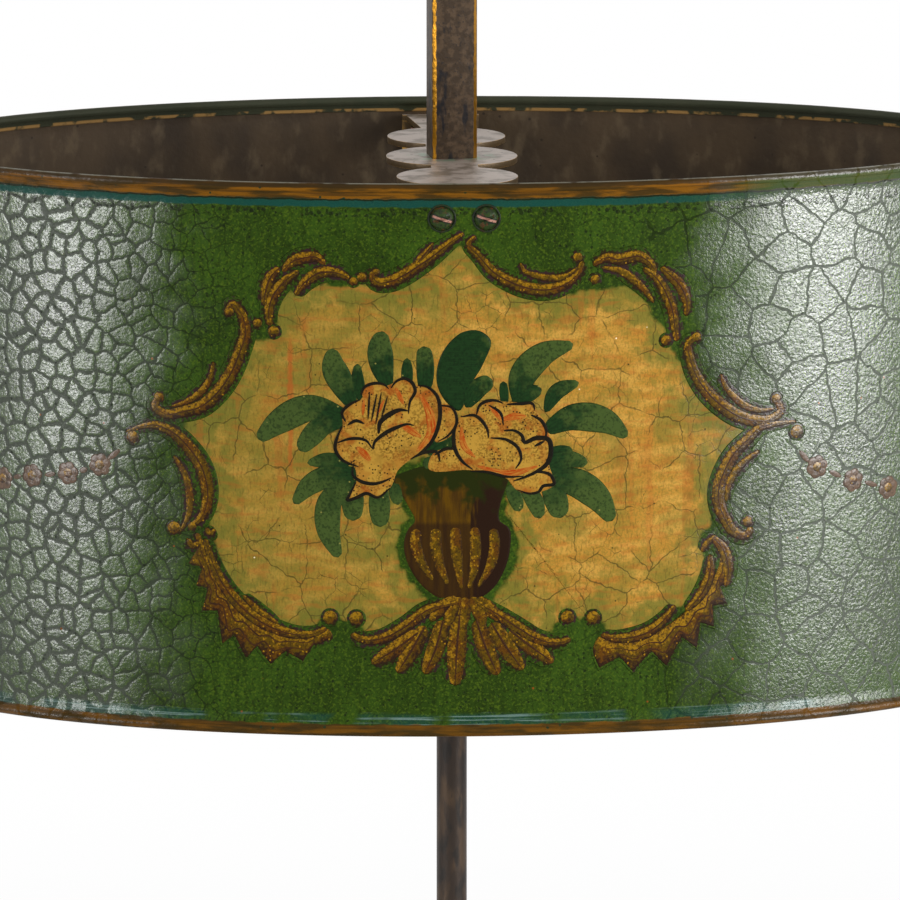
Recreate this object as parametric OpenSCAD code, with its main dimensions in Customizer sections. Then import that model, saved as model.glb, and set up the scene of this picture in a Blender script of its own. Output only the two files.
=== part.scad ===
// Bouillotte lamp: an oval painted-tin shade on a brass strap, which slides on the
// rod of a two-light candle stand and is held by a thumb key. The origin is the centre of
// the underside of the foot ring; the shade's long axis runs along X.

/* [Shade] */
// Length of the oval shade over its rolled rims
shade_len = 380; // [360:1:400]
// Width of the oval shade over its rolled rims
shade_wid = 204.8; // [190:0.2:220]
// Height of the shade from rim to rim
shade_h = 187.5; // [160:0.5:220]
// Height of the shade's lower rim above the table, as it is set
shade_low_z = 360; // [350:1:375]
// Thickness of the tinned sheet
sheet_t = 0.5; // [0.4:0.05:0.6]
// Diameter of the wire that each rim is rolled over
wire_d = 2.1; // [1.8:0.1:2.3]
// How far the folded sheet reaches down inside each rim, from the rim's edge
hem_depth = 5.2; // [4.4:0.1:5.6]

/* [Strap] */
// Thickness of the brass strap across the shade
strap_t = 2; // [1.8:0.1:3]
// Drop from the top rim to the strap's upper face
strap_drop = 6; // [5.8:0.1:8]
// Diameter of the disc under the slide
hub_disc_d = 45; // [40:1:50]
// Diameter of the two discs beside it
side_disc_d = 41; // [36:1:44]
// Distance of each side disc from the rod
side_disc_y = 46; // [44:1:50]
// Width of the strap between its discs
neck_w = 16; // [12:1:20]
// Width of the strap where it turns down against the wall
tab_w = 27; // [26:1:30]
// Length of the end that turns down
tab_h = 14; // [12:0.5:18]
// Inner radius of the bend at each end
bend_in_r = 0.6; // [0.4:0.1:1.5]

/* [Strap screws] */
// Diameter of the strap screws
screw_d = 3.6; // [3:0.1:4]
// Diameter of a screw's round head
head_d = 8; // [7:0.1:9]
// Height of a screw's round head
head_h = 2.4; // [2:0.1:3]
// Distance between the two screws of each end
screw_pitch = 14.8; // [14:0.2:17]
// Width of the screwdriver slot
slot_w = 1; // [0.7:0.1:1.4]
// Depth of the screwdriver slot
slot_h = 1; // [0.6:0.1:1.4]
// Side of a square nut
nut_w = 6; // [5.6:0.1:7]
// Thickness of a square nut
nut_h = 3; // [2:0.1:4]

/* [Slide] */
// Width of the square slide across its flats
slide_w = 15.5; // [14.5:0.1:17]
// Length of the slide above the strap
slide_h = 118; // [100:1:125]
// Width of the worn chamfer on each arris
arris = 1.4; // [0.8:0.1:2]
// Turn of the slide on the strap, in degrees
slide_turn = 6.5; // [0:0.5:10]

/* [Rod] */
// Diameter of the round rod
rod_d = 10.5; // [9:0.1:11]
// Height of the rod's upper end above the table
rod_top_z = 707; // [700:1:730]

/* [Keys] */
// Diameter of a thumb key's shank
key_d = 5; // [4:0.1:6]
// Diameter of a key's flat thumb piece
thumb_d = 17; // [14:0.5:20]
// Thickness of the thumb piece
thumb_t = 3; // [2:0.1:4]
// Height of the shade key above the strap
slide_key_h = 104; // [85:1:108]
// Radius of the boss that a key screws through
boss_r = 6; // [5:0.1:7]
// How far a boss stands out
boss_out = 4; // [3:0.1:6]

/* [Candle arms] */
// Distance of each candle from the rod
arm_reach = 95; // [90:1:100]
// Radius of the round arms
arm_r = 4; // [3.5:0.1:4.5]
// Radius of the small bend next to the hub
arm_bend_r = 16; // [14:1:18]
// Fall of the arm between its two bends, in degrees
arm_fall = 45; // [40:1:50]
// Radius of the knop between the two bends
knop_r = 6; // [5.5:0.1:7]
// Radius of the sliding hub
hub_r = 15; // [14:0.5:17]
// Height of the sliding hub
hub_h = 40; // [38:1:46]
// Radius of the tenon that fits an arm into the hub
tenon_r = 3.5; // [3:0.1:3.8]
// Radius of a drip pan
pan_r = 26; // [22:0.5:30]
// Depth of a drip pan
pan_h = 3.6; // [3:0.1:4]
// Bore of a candle nozzle
candle_d = 22.5; // [20:0.5:24]
// Depth of a candle nozzle's bore
candle_h = 27; // [22:1:32]
// Height of a nozzle from its foot to its lip
nozzle_h = 37; // [34:1:42]
// Wall of a candle nozzle
nozzle_t = 1.6; // [1.2:0.1:2.2]
// Radius of the peg through pan and nozzle
peg_r = 3; // [2.5:0.1:3.5]

/* [Stand] */
// Outer diameter of the dished base
base_d = 220; // [210:1:240]
// Outer radius of the foot ring
foot_r = 92; // [88:1:96]
// Width of the foot ring
foot_w = 6; // [4:0.5:8]
// Clear height under the dish
foot_h = 6; // [5.6:0.1:8]
// Thickness of the cast dish
dish_t = 3; // [2.5:0.1:4]
// Radius of the bead round the dish
lip_r = 2.4; // [2:0.1:3]
// Height of the turned foot of the column
plinth_h = 36; // [30:1:42]
// Radius of the turned foot
plinth_r = 38; // [34:1:42]
// Height of the baluster
baluster_h = 80; // [70:1:88]
// Greatest radius of the baluster
baluster_r = 17; // [15:0.5:20]
// Height of the collar that the hub rests on
collar_h = 20; // [16:1:24]
// Mean radius of the ring handle
ring_r = 17; // [15:0.5:20]
// Thickness of the ring handle
ring_d = 6; // [5:0.1:7]

/* [Clearances] */
// Radial running clearance of a slide or a key
run_gap = 0.05; // [0.03:0.01:0.08]
// Gap between pieces that only face each other
face_gap = 0.3; // [0.2:0.05:0.4]
// Radial gap of a screw in the wall
hole_gap = 0.3; // [0.2:0.05:0.4]
// Room for a nut under the bend of the strap
nut_gap = 0.1; // [0.1:0.1:2]

/* [Hidden] */
$fn = 72;

// Rolled rims: the sheet goes over the wire and comes back down inside, a slit away
wire_r = wire_d / 2;
slit = 0.04;
curl_sides = 8;
curl_steps = 10;
curl_in = (wire_r + run_gap) / cos(180 / curl_sides);
curl_out = wire_r + run_gap + sheet_t;
fold_u = -sheet_t - slit / 2;
wall_a = shade_len / 2 - curl_out - fold_u;
wall_b = shade_wid / 2 - curl_out - fold_u;
oval_steps = 80;
wire_sides = 6;

// Heights
shade_top_z = shade_low_z + shade_h;
strap_z = shade_top_z - strap_drop;
slide_top_z = strap_z + slide_h;
floor_z = foot_h + dish_t;
plinth_top_z = floor_z + plinth_h;
baluster_top_z = plinth_top_z + baluster_h;
column_top_z = baluster_top_z + collar_h;
hub_z = column_top_z + face_gap;
arm_z = hub_z + hub_h / 2;

// The tab's flat face clears the curved wall at its two edges
wall_in_b = wall_b - sheet_t;
tab_sag = wall_in_b * (1 - sqrt(1 - pow(tab_w / 2 / (wall_a - sheet_t), 2)));
tab_y = wall_in_b - tab_sag - 2 * run_gap;
bend_r = bend_in_r + strap_t;
screw_z = strap_z - bend_r - nut_gap - nut_w / 2;
head_seat = 0.02;
screw_over = 1.5;

// Bores
rod_r = rod_d / 2;
bore_r = rod_r + run_gap;
key_r = key_d / 2;
key_bore_r = key_r + run_gap;
key_tip = rod_r + face_gap;
key_collar_r = key_r + 2;
key_collar_h = 3;
key_neck_h = 5;
key_z = hub_h * 0.78;

// Arms
hub_boss_r = 7;
hub_boss_x = hub_r + 5;
tenon_depth = 8;
arm_collar_h = 3;
arm_start_x = hub_boss_x + arm_collar_h;
knop_x = arm_start_x + arm_bend_r * sin(arm_fall);
knop_z = arm_z - arm_bend_r * (1 - cos(arm_fall));
rise_r = (arm_reach - knop_x) / (1 + sin(arm_fall));
rise_z = knop_z + rise_r * cos(arm_fall);
knop_inset = 2;
seat_z = rise_z + 10;
seat_r = 7;
seat_h = 3;
pan_floor_t = 1.2;
pan_z = seat_z + seat_h;
nozzle_z = pan_z + pan_floor_t;
peg_h = pan_floor_t + 7;

// Rod ends and top fittings
nut_flats = 17;
base_nut_h = 3.8;
washer_t = 1.2;
washer_r = 15;
rod_low_z = 0.6;
cap_depth = 6;
cap_z = rod_top_z - cap_depth;
cap_h = 13;
ring_foot_z = cap_z + cap_h;
ring_foot_h = 3;
ring_z = ring_foot_z + ring_foot_h + ring_r + ring_d / 2 + 1;
stud_r = 2.5;
stud_h = 4;

// Points of an arc about c, from one angle to another
function arc(c, r, from, to, n) =
    [for (i = [0:n]) c + r * [cos(from + (to - from) * i / n), sin(from + (to - from) * i / n)]];

// A point of the wall's outer face at ellipse angle t, moved out along the wall's normal by u
function oval_point(t, u) =
    let (nx = cos(t) / wall_a, ny = sin(t) / wall_b, len = norm([nx, ny]))
    [wall_a * cos(t) + u * nx / len, wall_b * sin(t) + u * ny / len];

// A closed section of [outward, up] points carried round the oval
module oval_sweep(section) {
    n = len(section);
    points = [for (i = [0:oval_steps - 1], p = section)
        let (q = oval_point(360 * i / oval_steps, p.x)) [q.x, q.y, p.y]];
    faces = [for (i = [0:oval_steps - 1], j = [0:n - 1])
        let (a = i * n + j, b = i * n + (j + 1) % n,
             c = (i + 1) % oval_steps * n + j, d = (i + 1) % oval_steps * n + (j + 1) % n)
        each [[a, b, c], [b, d, c]]];
    polyhedron(points = points, faces = faces);
}

// The sheet's section over one rim, from the wall's outer face round the wire to its inner face
function rim_section(height) =
    let (c = [fold_u, height - curl_out],
         lift = acos(-fold_u / curl_out),
         turn = acos(slit / 2 / curl_in))
    concat(arc(c, curl_out, -lift, 180 + lift, curl_steps),
           [[2 * fold_u, height - hem_depth], [fold_u - slit / 2, height - hem_depth]],
           arc(c, curl_in, 180 + turn, -turn, curl_sides));

// The whole wall's section: the same rim above and, upside down, below
function wall_section() =
    let (rim = rim_section(shade_h), last = len(rim) - 1)
    concat(rim, [for (i = [last:-1:0]) [rim[i].x, shade_h - rim[i].y]]);

// A turned piece about the rod, from its half section
module turned(points) rotate_extrude() polygon(points);

// A key along +X: shank, collar, neck and flat thumb piece, for a boss that ends at boss_x
module key(boss_x) {
    color("goldenrod") rotate([0, 90, 0]) {
        translate([0, 0, key_tip]) cylinder(r = key_r, h = boss_x + key_collar_h - key_tip);
        translate([0, 0, boss_x + face_gap]) cylinder(r = key_collar_r, h = key_collar_h);
        translate([0, 0, boss_x + key_collar_h])
            cylinder(r1 = key_collar_r, r2 = key_r, h = key_neck_h);
    }
    color("goldenrod") translate([boss_x + key_collar_h + key_neck_h + thumb_d / 2 - 2, 0, 0])
        rotate([90, 0, 0]) cylinder(d = thumb_d, h = thumb_t, center = true);
}

// Both ends of the strap, and both screws at each end
module at_screws()
    for (end = [0, 180], side = [-1, 1])
        rotate([0, 0, end]) translate([side * screw_pitch / 2, 0, screw_z]) rotate([-90, 0, 0])
            children();

module base_dish() color("darkgoldenrod") {
    curve_r = base_d / 2 - lip_r / 2 - foot_r;
    curve_z = foot_h + curve_r;
    turned(concat(
        [[bore_r, foot_h], [foot_r - foot_w, foot_h], [foot_r - foot_w, 0], [foot_r, 0],
         [foot_r, foot_h]],
        arc([foot_r, curve_z], curve_r, -86, -12, 8),
        arc([foot_r + curve_r - lip_r / 2, curve_z], lip_r, -40, 215, 8),
        arc([foot_r, curve_z], curve_r - dish_t, -12, -90, 8),
        [[bore_r, floor_z]]));
}

module base_washer() color("dimgray")
    translate([0, 0, foot_h - washer_t]) difference() {
        cylinder(r = washer_r, h = washer_t);
        translate([0, 0, -1]) cylinder(r = bore_r, h = washer_t + 2);
    }

module base_nut() color("dimgray")
    translate([0, 0, foot_h - washer_t - base_nut_h]) difference() {
        cylinder(r = nut_flats / 2 / cos(30), h = base_nut_h, $fn = 6);
        translate([0, 0, -1]) cylinder(r = bore_r, h = base_nut_h + 2);
    }

module column_plinth() color("darkgoldenrod") {
    step = plinth_h / 9;
    cove_r = 5 * step;
    turned(concat(
        [[bore_r, floor_z], [plinth_r - 1, floor_z]],
        arc([plinth_r - step, floor_z + step], step, -60, 90, 6),
        [[plinth_r - 2 * step, floor_z + 2 * step]],
        arc([plinth_r - 2 * step, floor_z + 2.5 * step + cove_r], cove_r, -90, -180, 9),
        [[plinth_r - 2 * step - cove_r + 2, plinth_top_z - step]],
        arc([plinth_r - 2 * step - cove_r, plinth_top_z - step / 2], step / 2, -60, 60, 4),
        [[plinth_r - 2 * step - cove_r, plinth_top_z], [bore_r, plinth_top_z]]));
}

module column_baluster() color("darkgoldenrod") {
    neck_r = rod_r + 3;
    belly_z = plinth_top_z + 0.42 * baluster_h;
    turned(concat(
        [[bore_r, plinth_top_z], [neck_r + 3, plinth_top_z], [neck_r + 3, plinth_top_z + 3],
         [neck_r, plinth_top_z + 5]],
        [for (i = [0:8]) [neck_r + (baluster_r - neck_r) * pow(sin(90 * i / 8), 2),
                          plinth_top_z + 9 + (belly_z - plinth_top_z - 9) * i / 8]],
        [for (i = [1:8]) [neck_r + (baluster_r - neck_r) * pow(cos(90 * i / 8), 2),
                          belly_z + (baluster_top_z - 8 - belly_z) * i / 8]],
        [[neck_r + 4, baluster_top_z - 4], [neck_r + 4, baluster_top_z],
         [bore_r, baluster_top_z]]));
}

module column_collar() color("darkgoldenrod") {
    ring = collar_h * 0.3;
    turned(concat(
        [[bore_r, baluster_top_z], [rod_r + 3, baluster_top_z]],
        arc([rod_r + 4, baluster_top_z + collar_h / 2], ring, -80, 80, 8),
        [[rod_r + 6, column_top_z - 2], [rod_r + 6, column_top_z], [bore_r, column_top_z]]));
}

module stem_rod() color("dimgray")
    translate([0, 0, rod_low_z]) cylinder(r = rod_r, h = rod_top_z - rod_low_z);

module finial_collar() color("goldenrod")
    difference() {
        turned(concat(
            [[0, cap_z], [rod_r + 3, cap_z], [rod_r + 4, cap_z + 2]],
            arc([rod_r + 1.5, cap_z + 6.5], 3.5, -40, 60, 5),
            [[rod_r, ring_foot_z - 2], [rod_r + 1, ring_foot_z], [0, ring_foot_z]]));
        translate([0, 0, cap_z - 1]) cylinder(r = bore_r, h = cap_depth + run_gap + 1);
        translate([0, 0, ring_foot_z - stud_h - run_gap])
            cylinder(r = stud_r + run_gap, h = stud_h + 1);
    }

module ring_handle() color("goldenrod") {
    translate([0, 0, ring_z]) rotate([90, 0, 0]) rotate_extrude() translate([ring_r, 0])
        circle(d = ring_d);
    translate([0, 0, ring_foot_z]) cylinder(r1 = rod_r + 1, r2 = ring_d / 2 + 1, h = ring_foot_h);
    translate([0, 0, ring_foot_z + ring_foot_h / 2])
        cylinder(r = ring_d / 2 - 0.5, h = ring_foot_h + ring_d / 2);
    translate([0, 0, ring_foot_z - stud_h]) cylinder(r = stud_r, h = stud_h + 1);
}

module arm_hub() color("goldenrod")
    difference() {
        union() {
            turned(concat(
                [[0, hub_z], [hub_r - 3, hub_z], [hub_r - 3, hub_z + 3]],
                arc([hub_r - 3, hub_z + 6], 3, -90, 90, 6),
                [[hub_r - 4, hub_z + 10], [hub_r - 4, hub_z + hub_h - 7]],
                arc([hub_r - 4, hub_z + hub_h - 4], 2.5, -90, 90, 6),
                [[hub_r - 4, hub_z + hub_h], [0, hub_z + hub_h]]));
            for (side = [0, 180]) translate([0, 0, arm_z]) rotate([0, 90, side])
                cylinder(r = hub_boss_r, h = hub_boss_x);
            translate([0, 0, hub_z + key_z]) rotate([90, 0, 0])
                cylinder(r = boss_r, h = hub_r + boss_out);
        }
        translate([0, 0, hub_z - 1]) cylinder(r = bore_r, h = hub_h + 2);
        for (side = [0, 180]) translate([0, 0, arm_z]) rotate([0, 0, side])
            translate([hub_boss_x - tenon_depth - face_gap, 0, 0]) rotate([0, 90, 0])
                cylinder(r = tenon_r + run_gap, h = tenon_depth + 2);
        translate([0, 0, hub_z + key_z]) rotate([90, 0, 0])
            cylinder(r = key_bore_r, h = hub_r + boss_out + 1);
    }

// The arm on the +X side
module arm() color("goldenrod") {
    translate([hub_boss_x - tenon_depth, 0, arm_z]) rotate([0, 90, 0])
        cylinder(r = tenon_r, h = tenon_depth + 1);
    translate([hub_boss_x, 0, arm_z]) rotate([0, 90, 0])
        cylinder(r1 = hub_boss_r, r2 = arm_r + 1, h = arm_collar_h);
    arm_bend([arm_start_x, arm_z - arm_bend_r], arm_bend_r, 90 - arm_fall, 96);
    translate([knop_x, 0, knop_z]) sphere(r = knop_r);
    arm_bend([arm_reach - rise_r, rise_z], rise_r, -90 - arm_fall, 0);
    translate([arm_reach, 0, rise_z - 0.5]) cylinder(r = arm_r + 1, h = seat_z - rise_z + 1);
    translate([arm_reach, 0, seat_z]) cylinder(r1 = arm_r + 1, r2 = seat_r, h = seat_h);
    translate([arm_reach, 0, seat_z + 1]) cylinder(r = peg_r, h = seat_h - 1 + peg_h);
}

// A round bar bent about a centre in the XZ plane, from one angle to another
module arm_bend(c, r, from, to)
    translate([c.x, 0, c.y]) rotate([90, 0, 0]) rotate([0, 0, from])
        rotate_extrude(angle = to - from) translate([r, 0]) circle(r = arm_r);

module drip_pan() color("goldenrod")
    translate([arm_reach, 0, 0]) turned(concat(
        [[peg_r + run_gap, pan_z], [seat_r, pan_z], [pan_r - 6, pan_z]],
        [[pan_r, pan_z + pan_h - 0.8], [pan_r, pan_z + pan_h]],
        [[pan_r - 1.2, pan_z + pan_h], [pan_r - 6.6, nozzle_z], [peg_r + run_gap, nozzle_z]]));

module candle_nozzle() color("goldenrod") {
    cup_r = candle_d / 2 + nozzle_t;
    cup_z = nozzle_z + nozzle_h - candle_h - nozzle_t;
    waist_r = peg_r + 3.5;
    translate([arm_reach, 0, 0]) difference() {
        turned(concat(
            [[0, nozzle_z], [cup_r - 2, nozzle_z], [cup_r - 2, nozzle_z + 1.5],
             [waist_r, nozzle_z + 4], [waist_r, cup_z - 2]],
            arc([cup_r - 5, cup_z + 4], 5, -70, 0, 6),
            [[cup_r, nozzle_z + nozzle_h - 5]],
            arc([cup_r, nozzle_z + nozzle_h - 2], 2, -60, 80, 6),
            [[0, nozzle_z + nozzle_h]]));
        translate([0, 0, nozzle_z + nozzle_h - candle_h]) cylinder(d = candle_d, h = candle_h + 1);
        translate([0, 0, nozzle_z - 1])
            cylinder(r = peg_r + run_gap, h = peg_h - pan_floor_t + run_gap + 1);
    }
}

module left_arm() mirror([1, 0, 0]) arm();
module right_arm() arm();
module left_drip_pan() mirror([1, 0, 0]) drip_pan();
module right_drip_pan() drip_pan();
module left_candle_nozzle() mirror([1, 0, 0]) candle_nozzle();
module right_candle_nozzle() candle_nozzle();

module arm_key()
    translate([0, 0, hub_z + key_z]) rotate([0, 0, -90]) key(hub_r + boss_out);

module shade_wall() color("darkolivegreen")
    difference() {
        translate([0, 0, shade_low_z]) oval_sweep(wall_section());
        at_screws() translate([0, 0, wall_in_b - tab_sag - 1])
            cylinder(d = screw_d + 2 * hole_gap, h = tab_sag + sheet_t + 4);
    }

module rim_wire(height) color("silver")
    translate([0, 0, shade_low_z]) oval_sweep(arc([fold_u, height], wire_r, 0,
        360 - 360 / wire_sides, wire_sides - 1));

module top_rim_wire() rim_wire(shade_h - curl_out);
module bottom_rim_wire() rim_wire(curl_out);

module shade_strap() color("rosybrown")
    difference() {
        union() {
            translate([0, 0, strap_z - strap_t]) linear_extrude(strap_t) {
                circle(d = hub_disc_d);
                for (side = [-1, 1]) translate([0, side * side_disc_y]) circle(d = side_disc_d);
                square([neck_w, 2 * (side_disc_y + side_disc_d / 2)], center = true);
            }
            for (end = [0, 180]) rotate([0, 0, end]) strap_end();
        }
        translate([0, 0, strap_z - strap_t - 1]) cylinder(r = rod_r + face_gap, h = strap_t + 2);
        at_screws() translate([0, 0, tab_y - strap_t - 1])
            cylinder(d = screw_d + 2 * run_gap, h = strap_t + 2);
    }

// One end of the strap on the +Y side: it widens to the tab and turns down along the wall
module strap_end() {
    flare_y = side_disc_y + side_disc_d / 2 - 2;
    translate([0, 0, strap_z - strap_t]) linear_extrude(strap_t)
        polygon([[-neck_w / 2, flare_y], [neck_w / 2, flare_y], [tab_w / 2 - 1, tab_y - bend_r],
                 [-tab_w / 2 + 1, tab_y - bend_r]]);
    translate([-tab_w / 2, tab_y, strap_z]) rotate([90, 0, 90]) linear_extrude(tab_w)
        polygon(concat(
            [[-2 * bend_r, 0]], arc([-bend_r, -bend_r], bend_r, 90, 0, 5),
            [[0, -tab_h], [-strap_t, -tab_h]],
            arc([-bend_r, -bend_r], bend_in_r, 0, 90, 3), [[-2 * bend_r, -strap_t]]));
}

// Round-headed slotted screws through wall and tab; each slot lies at its own angle
module strap_screws() color("rosybrown") {
    slot_turn = 18;
    cap_r = (pow(head_d / 2, 2) + pow(head_h, 2)) / 2 / head_h;
    reach = wall_b + head_seat - tab_y + strap_t + nut_h + screw_over;
    at_screws() translate([0, 0, wall_b + head_seat]) difference() {
        union() {
            translate([0, 0, -reach]) cylinder(d = screw_d, h = reach + 1);
            intersection() {
                translate([0, 0, head_h - cap_r]) sphere(r = cap_r);
                cylinder(d = head_d + 2, h = head_h + 1);
            }
        }
        rotate([0, 0, slot_turn]) translate([-head_d, -slot_w / 2, head_h - slot_h])
            cube([2 * head_d, slot_w, slot_h + 1]);
    }
}

module strap_nuts() color("dimgray")
    at_screws() translate([0, 0, tab_y - strap_t - nut_h]) difference() {
        translate([-nut_w / 2, -nut_w / 2, 0]) cube([nut_w, nut_w, nut_h]);
        translate([0, 0, -1]) cylinder(d = screw_d + run_gap, h = nut_h + 2);
    }

module shade_slide() color("saddlebrown")
    rotate([0, 0, slide_turn]) difference() {
        union() {
            translate([0, 0, strap_z]) linear_extrude(slide_h) intersection() {
                square(slide_w, center = true);
                rotate(45) square(sqrt(2) * (slide_w - arris), center = true);
            }
            translate([0, 0, strap_z + slide_key_h]) rotate([0, 90, 0])
                cylinder(r = boss_r, h = slide_w / 2 + boss_out);
        }
        translate([0, 0, strap_z - 1]) cylinder(r = bore_r, h = slide_h + 2);
        translate([0, 0, strap_z + slide_key_h]) rotate([0, 90, 0])
            cylinder(r = key_bore_r, h = slide_w / 2 + boss_out + 1);
    }

module shade_key()
    rotate([0, 0, slide_turn]) translate([0, 0, strap_z + slide_key_h])
        key(slide_w / 2 + boss_out);

base_dish();
base_washer();
base_nut();
column_plinth();
column_baluster();
column_collar();
stem_rod();
finial_collar();
ring_handle();
arm_hub();
left_arm();
right_arm();
left_drip_pan();
right_drip_pan();
left_candle_nozzle();
right_candle_nozzle();
arm_key();
shade_wall();
top_rim_wire();
bottom_rim_wire();
shade_strap();
strap_screws();
strap_nuts();
shade_slide();
shade_key();
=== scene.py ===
"""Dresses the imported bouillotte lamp: an oval japanned shade with a painted urn of roses, on a brass candle stand."""

import dataclasses
import functools
import logging
import math
from collections.abc import Sequence
from dataclasses import dataclass
from enum import Enum

import bmesh
import bpy
import numpy as np
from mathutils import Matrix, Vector


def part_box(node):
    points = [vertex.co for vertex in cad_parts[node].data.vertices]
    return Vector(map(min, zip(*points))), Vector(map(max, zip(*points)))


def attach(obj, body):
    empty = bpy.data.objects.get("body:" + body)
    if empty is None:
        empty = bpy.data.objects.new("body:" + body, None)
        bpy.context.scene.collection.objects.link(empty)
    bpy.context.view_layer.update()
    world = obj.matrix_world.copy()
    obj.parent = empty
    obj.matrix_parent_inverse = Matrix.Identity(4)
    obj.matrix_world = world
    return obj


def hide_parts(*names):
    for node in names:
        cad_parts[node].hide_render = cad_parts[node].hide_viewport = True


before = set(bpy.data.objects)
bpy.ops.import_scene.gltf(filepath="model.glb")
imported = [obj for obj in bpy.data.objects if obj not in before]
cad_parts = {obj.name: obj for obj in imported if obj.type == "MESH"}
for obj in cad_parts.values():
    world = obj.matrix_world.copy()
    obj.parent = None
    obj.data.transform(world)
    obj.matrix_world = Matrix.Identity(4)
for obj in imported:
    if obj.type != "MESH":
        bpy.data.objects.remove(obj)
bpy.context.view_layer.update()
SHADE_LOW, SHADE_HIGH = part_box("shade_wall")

LOG = logging.getLogger("bouillotte_lamp")
MM = 0.001
SHADE_HEIGHT = (SHADE_HIGH[2] - SHADE_LOW[2]) / MM
HEM_DEPTH = 5.2
SCREW_PITCH = 14.8

Array = np.ndarray
Point = tuple[float, float]
Triple = tuple[float, float, float]
Tree = bpy.types.NodeTree


# --------------------------------------------------------------------------------------
# Colour and nodes
# --------------------------------------------------------------------------------------


def linear(code: str) -> tuple[float, float, float, float]:
    """Turns an sRGB hex colour into the linear colour that a shader takes.

    Args:
        code: The colour as "#rrggbb".

    Returns:
        Linear red, green and blue, and an alpha of 1.
    """
    parts = [int(code[i : i + 2], 16) / 255 for i in (1, 3, 5)]
    red, green, blue = (c / 12.92 if c <= 0.04045 else ((c + 0.055) / 1.055) ** 2.4 for c in parts)
    return red, green, blue, 1.0


def bare_tree(owner: bpy.types.Material | bpy.types.World) -> Tree:
    """Turns on the nodes of a material or world, and empties its tree."""
    owner.use_nodes = True
    owner.node_tree.nodes.clear()
    return owner.node_tree


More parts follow.
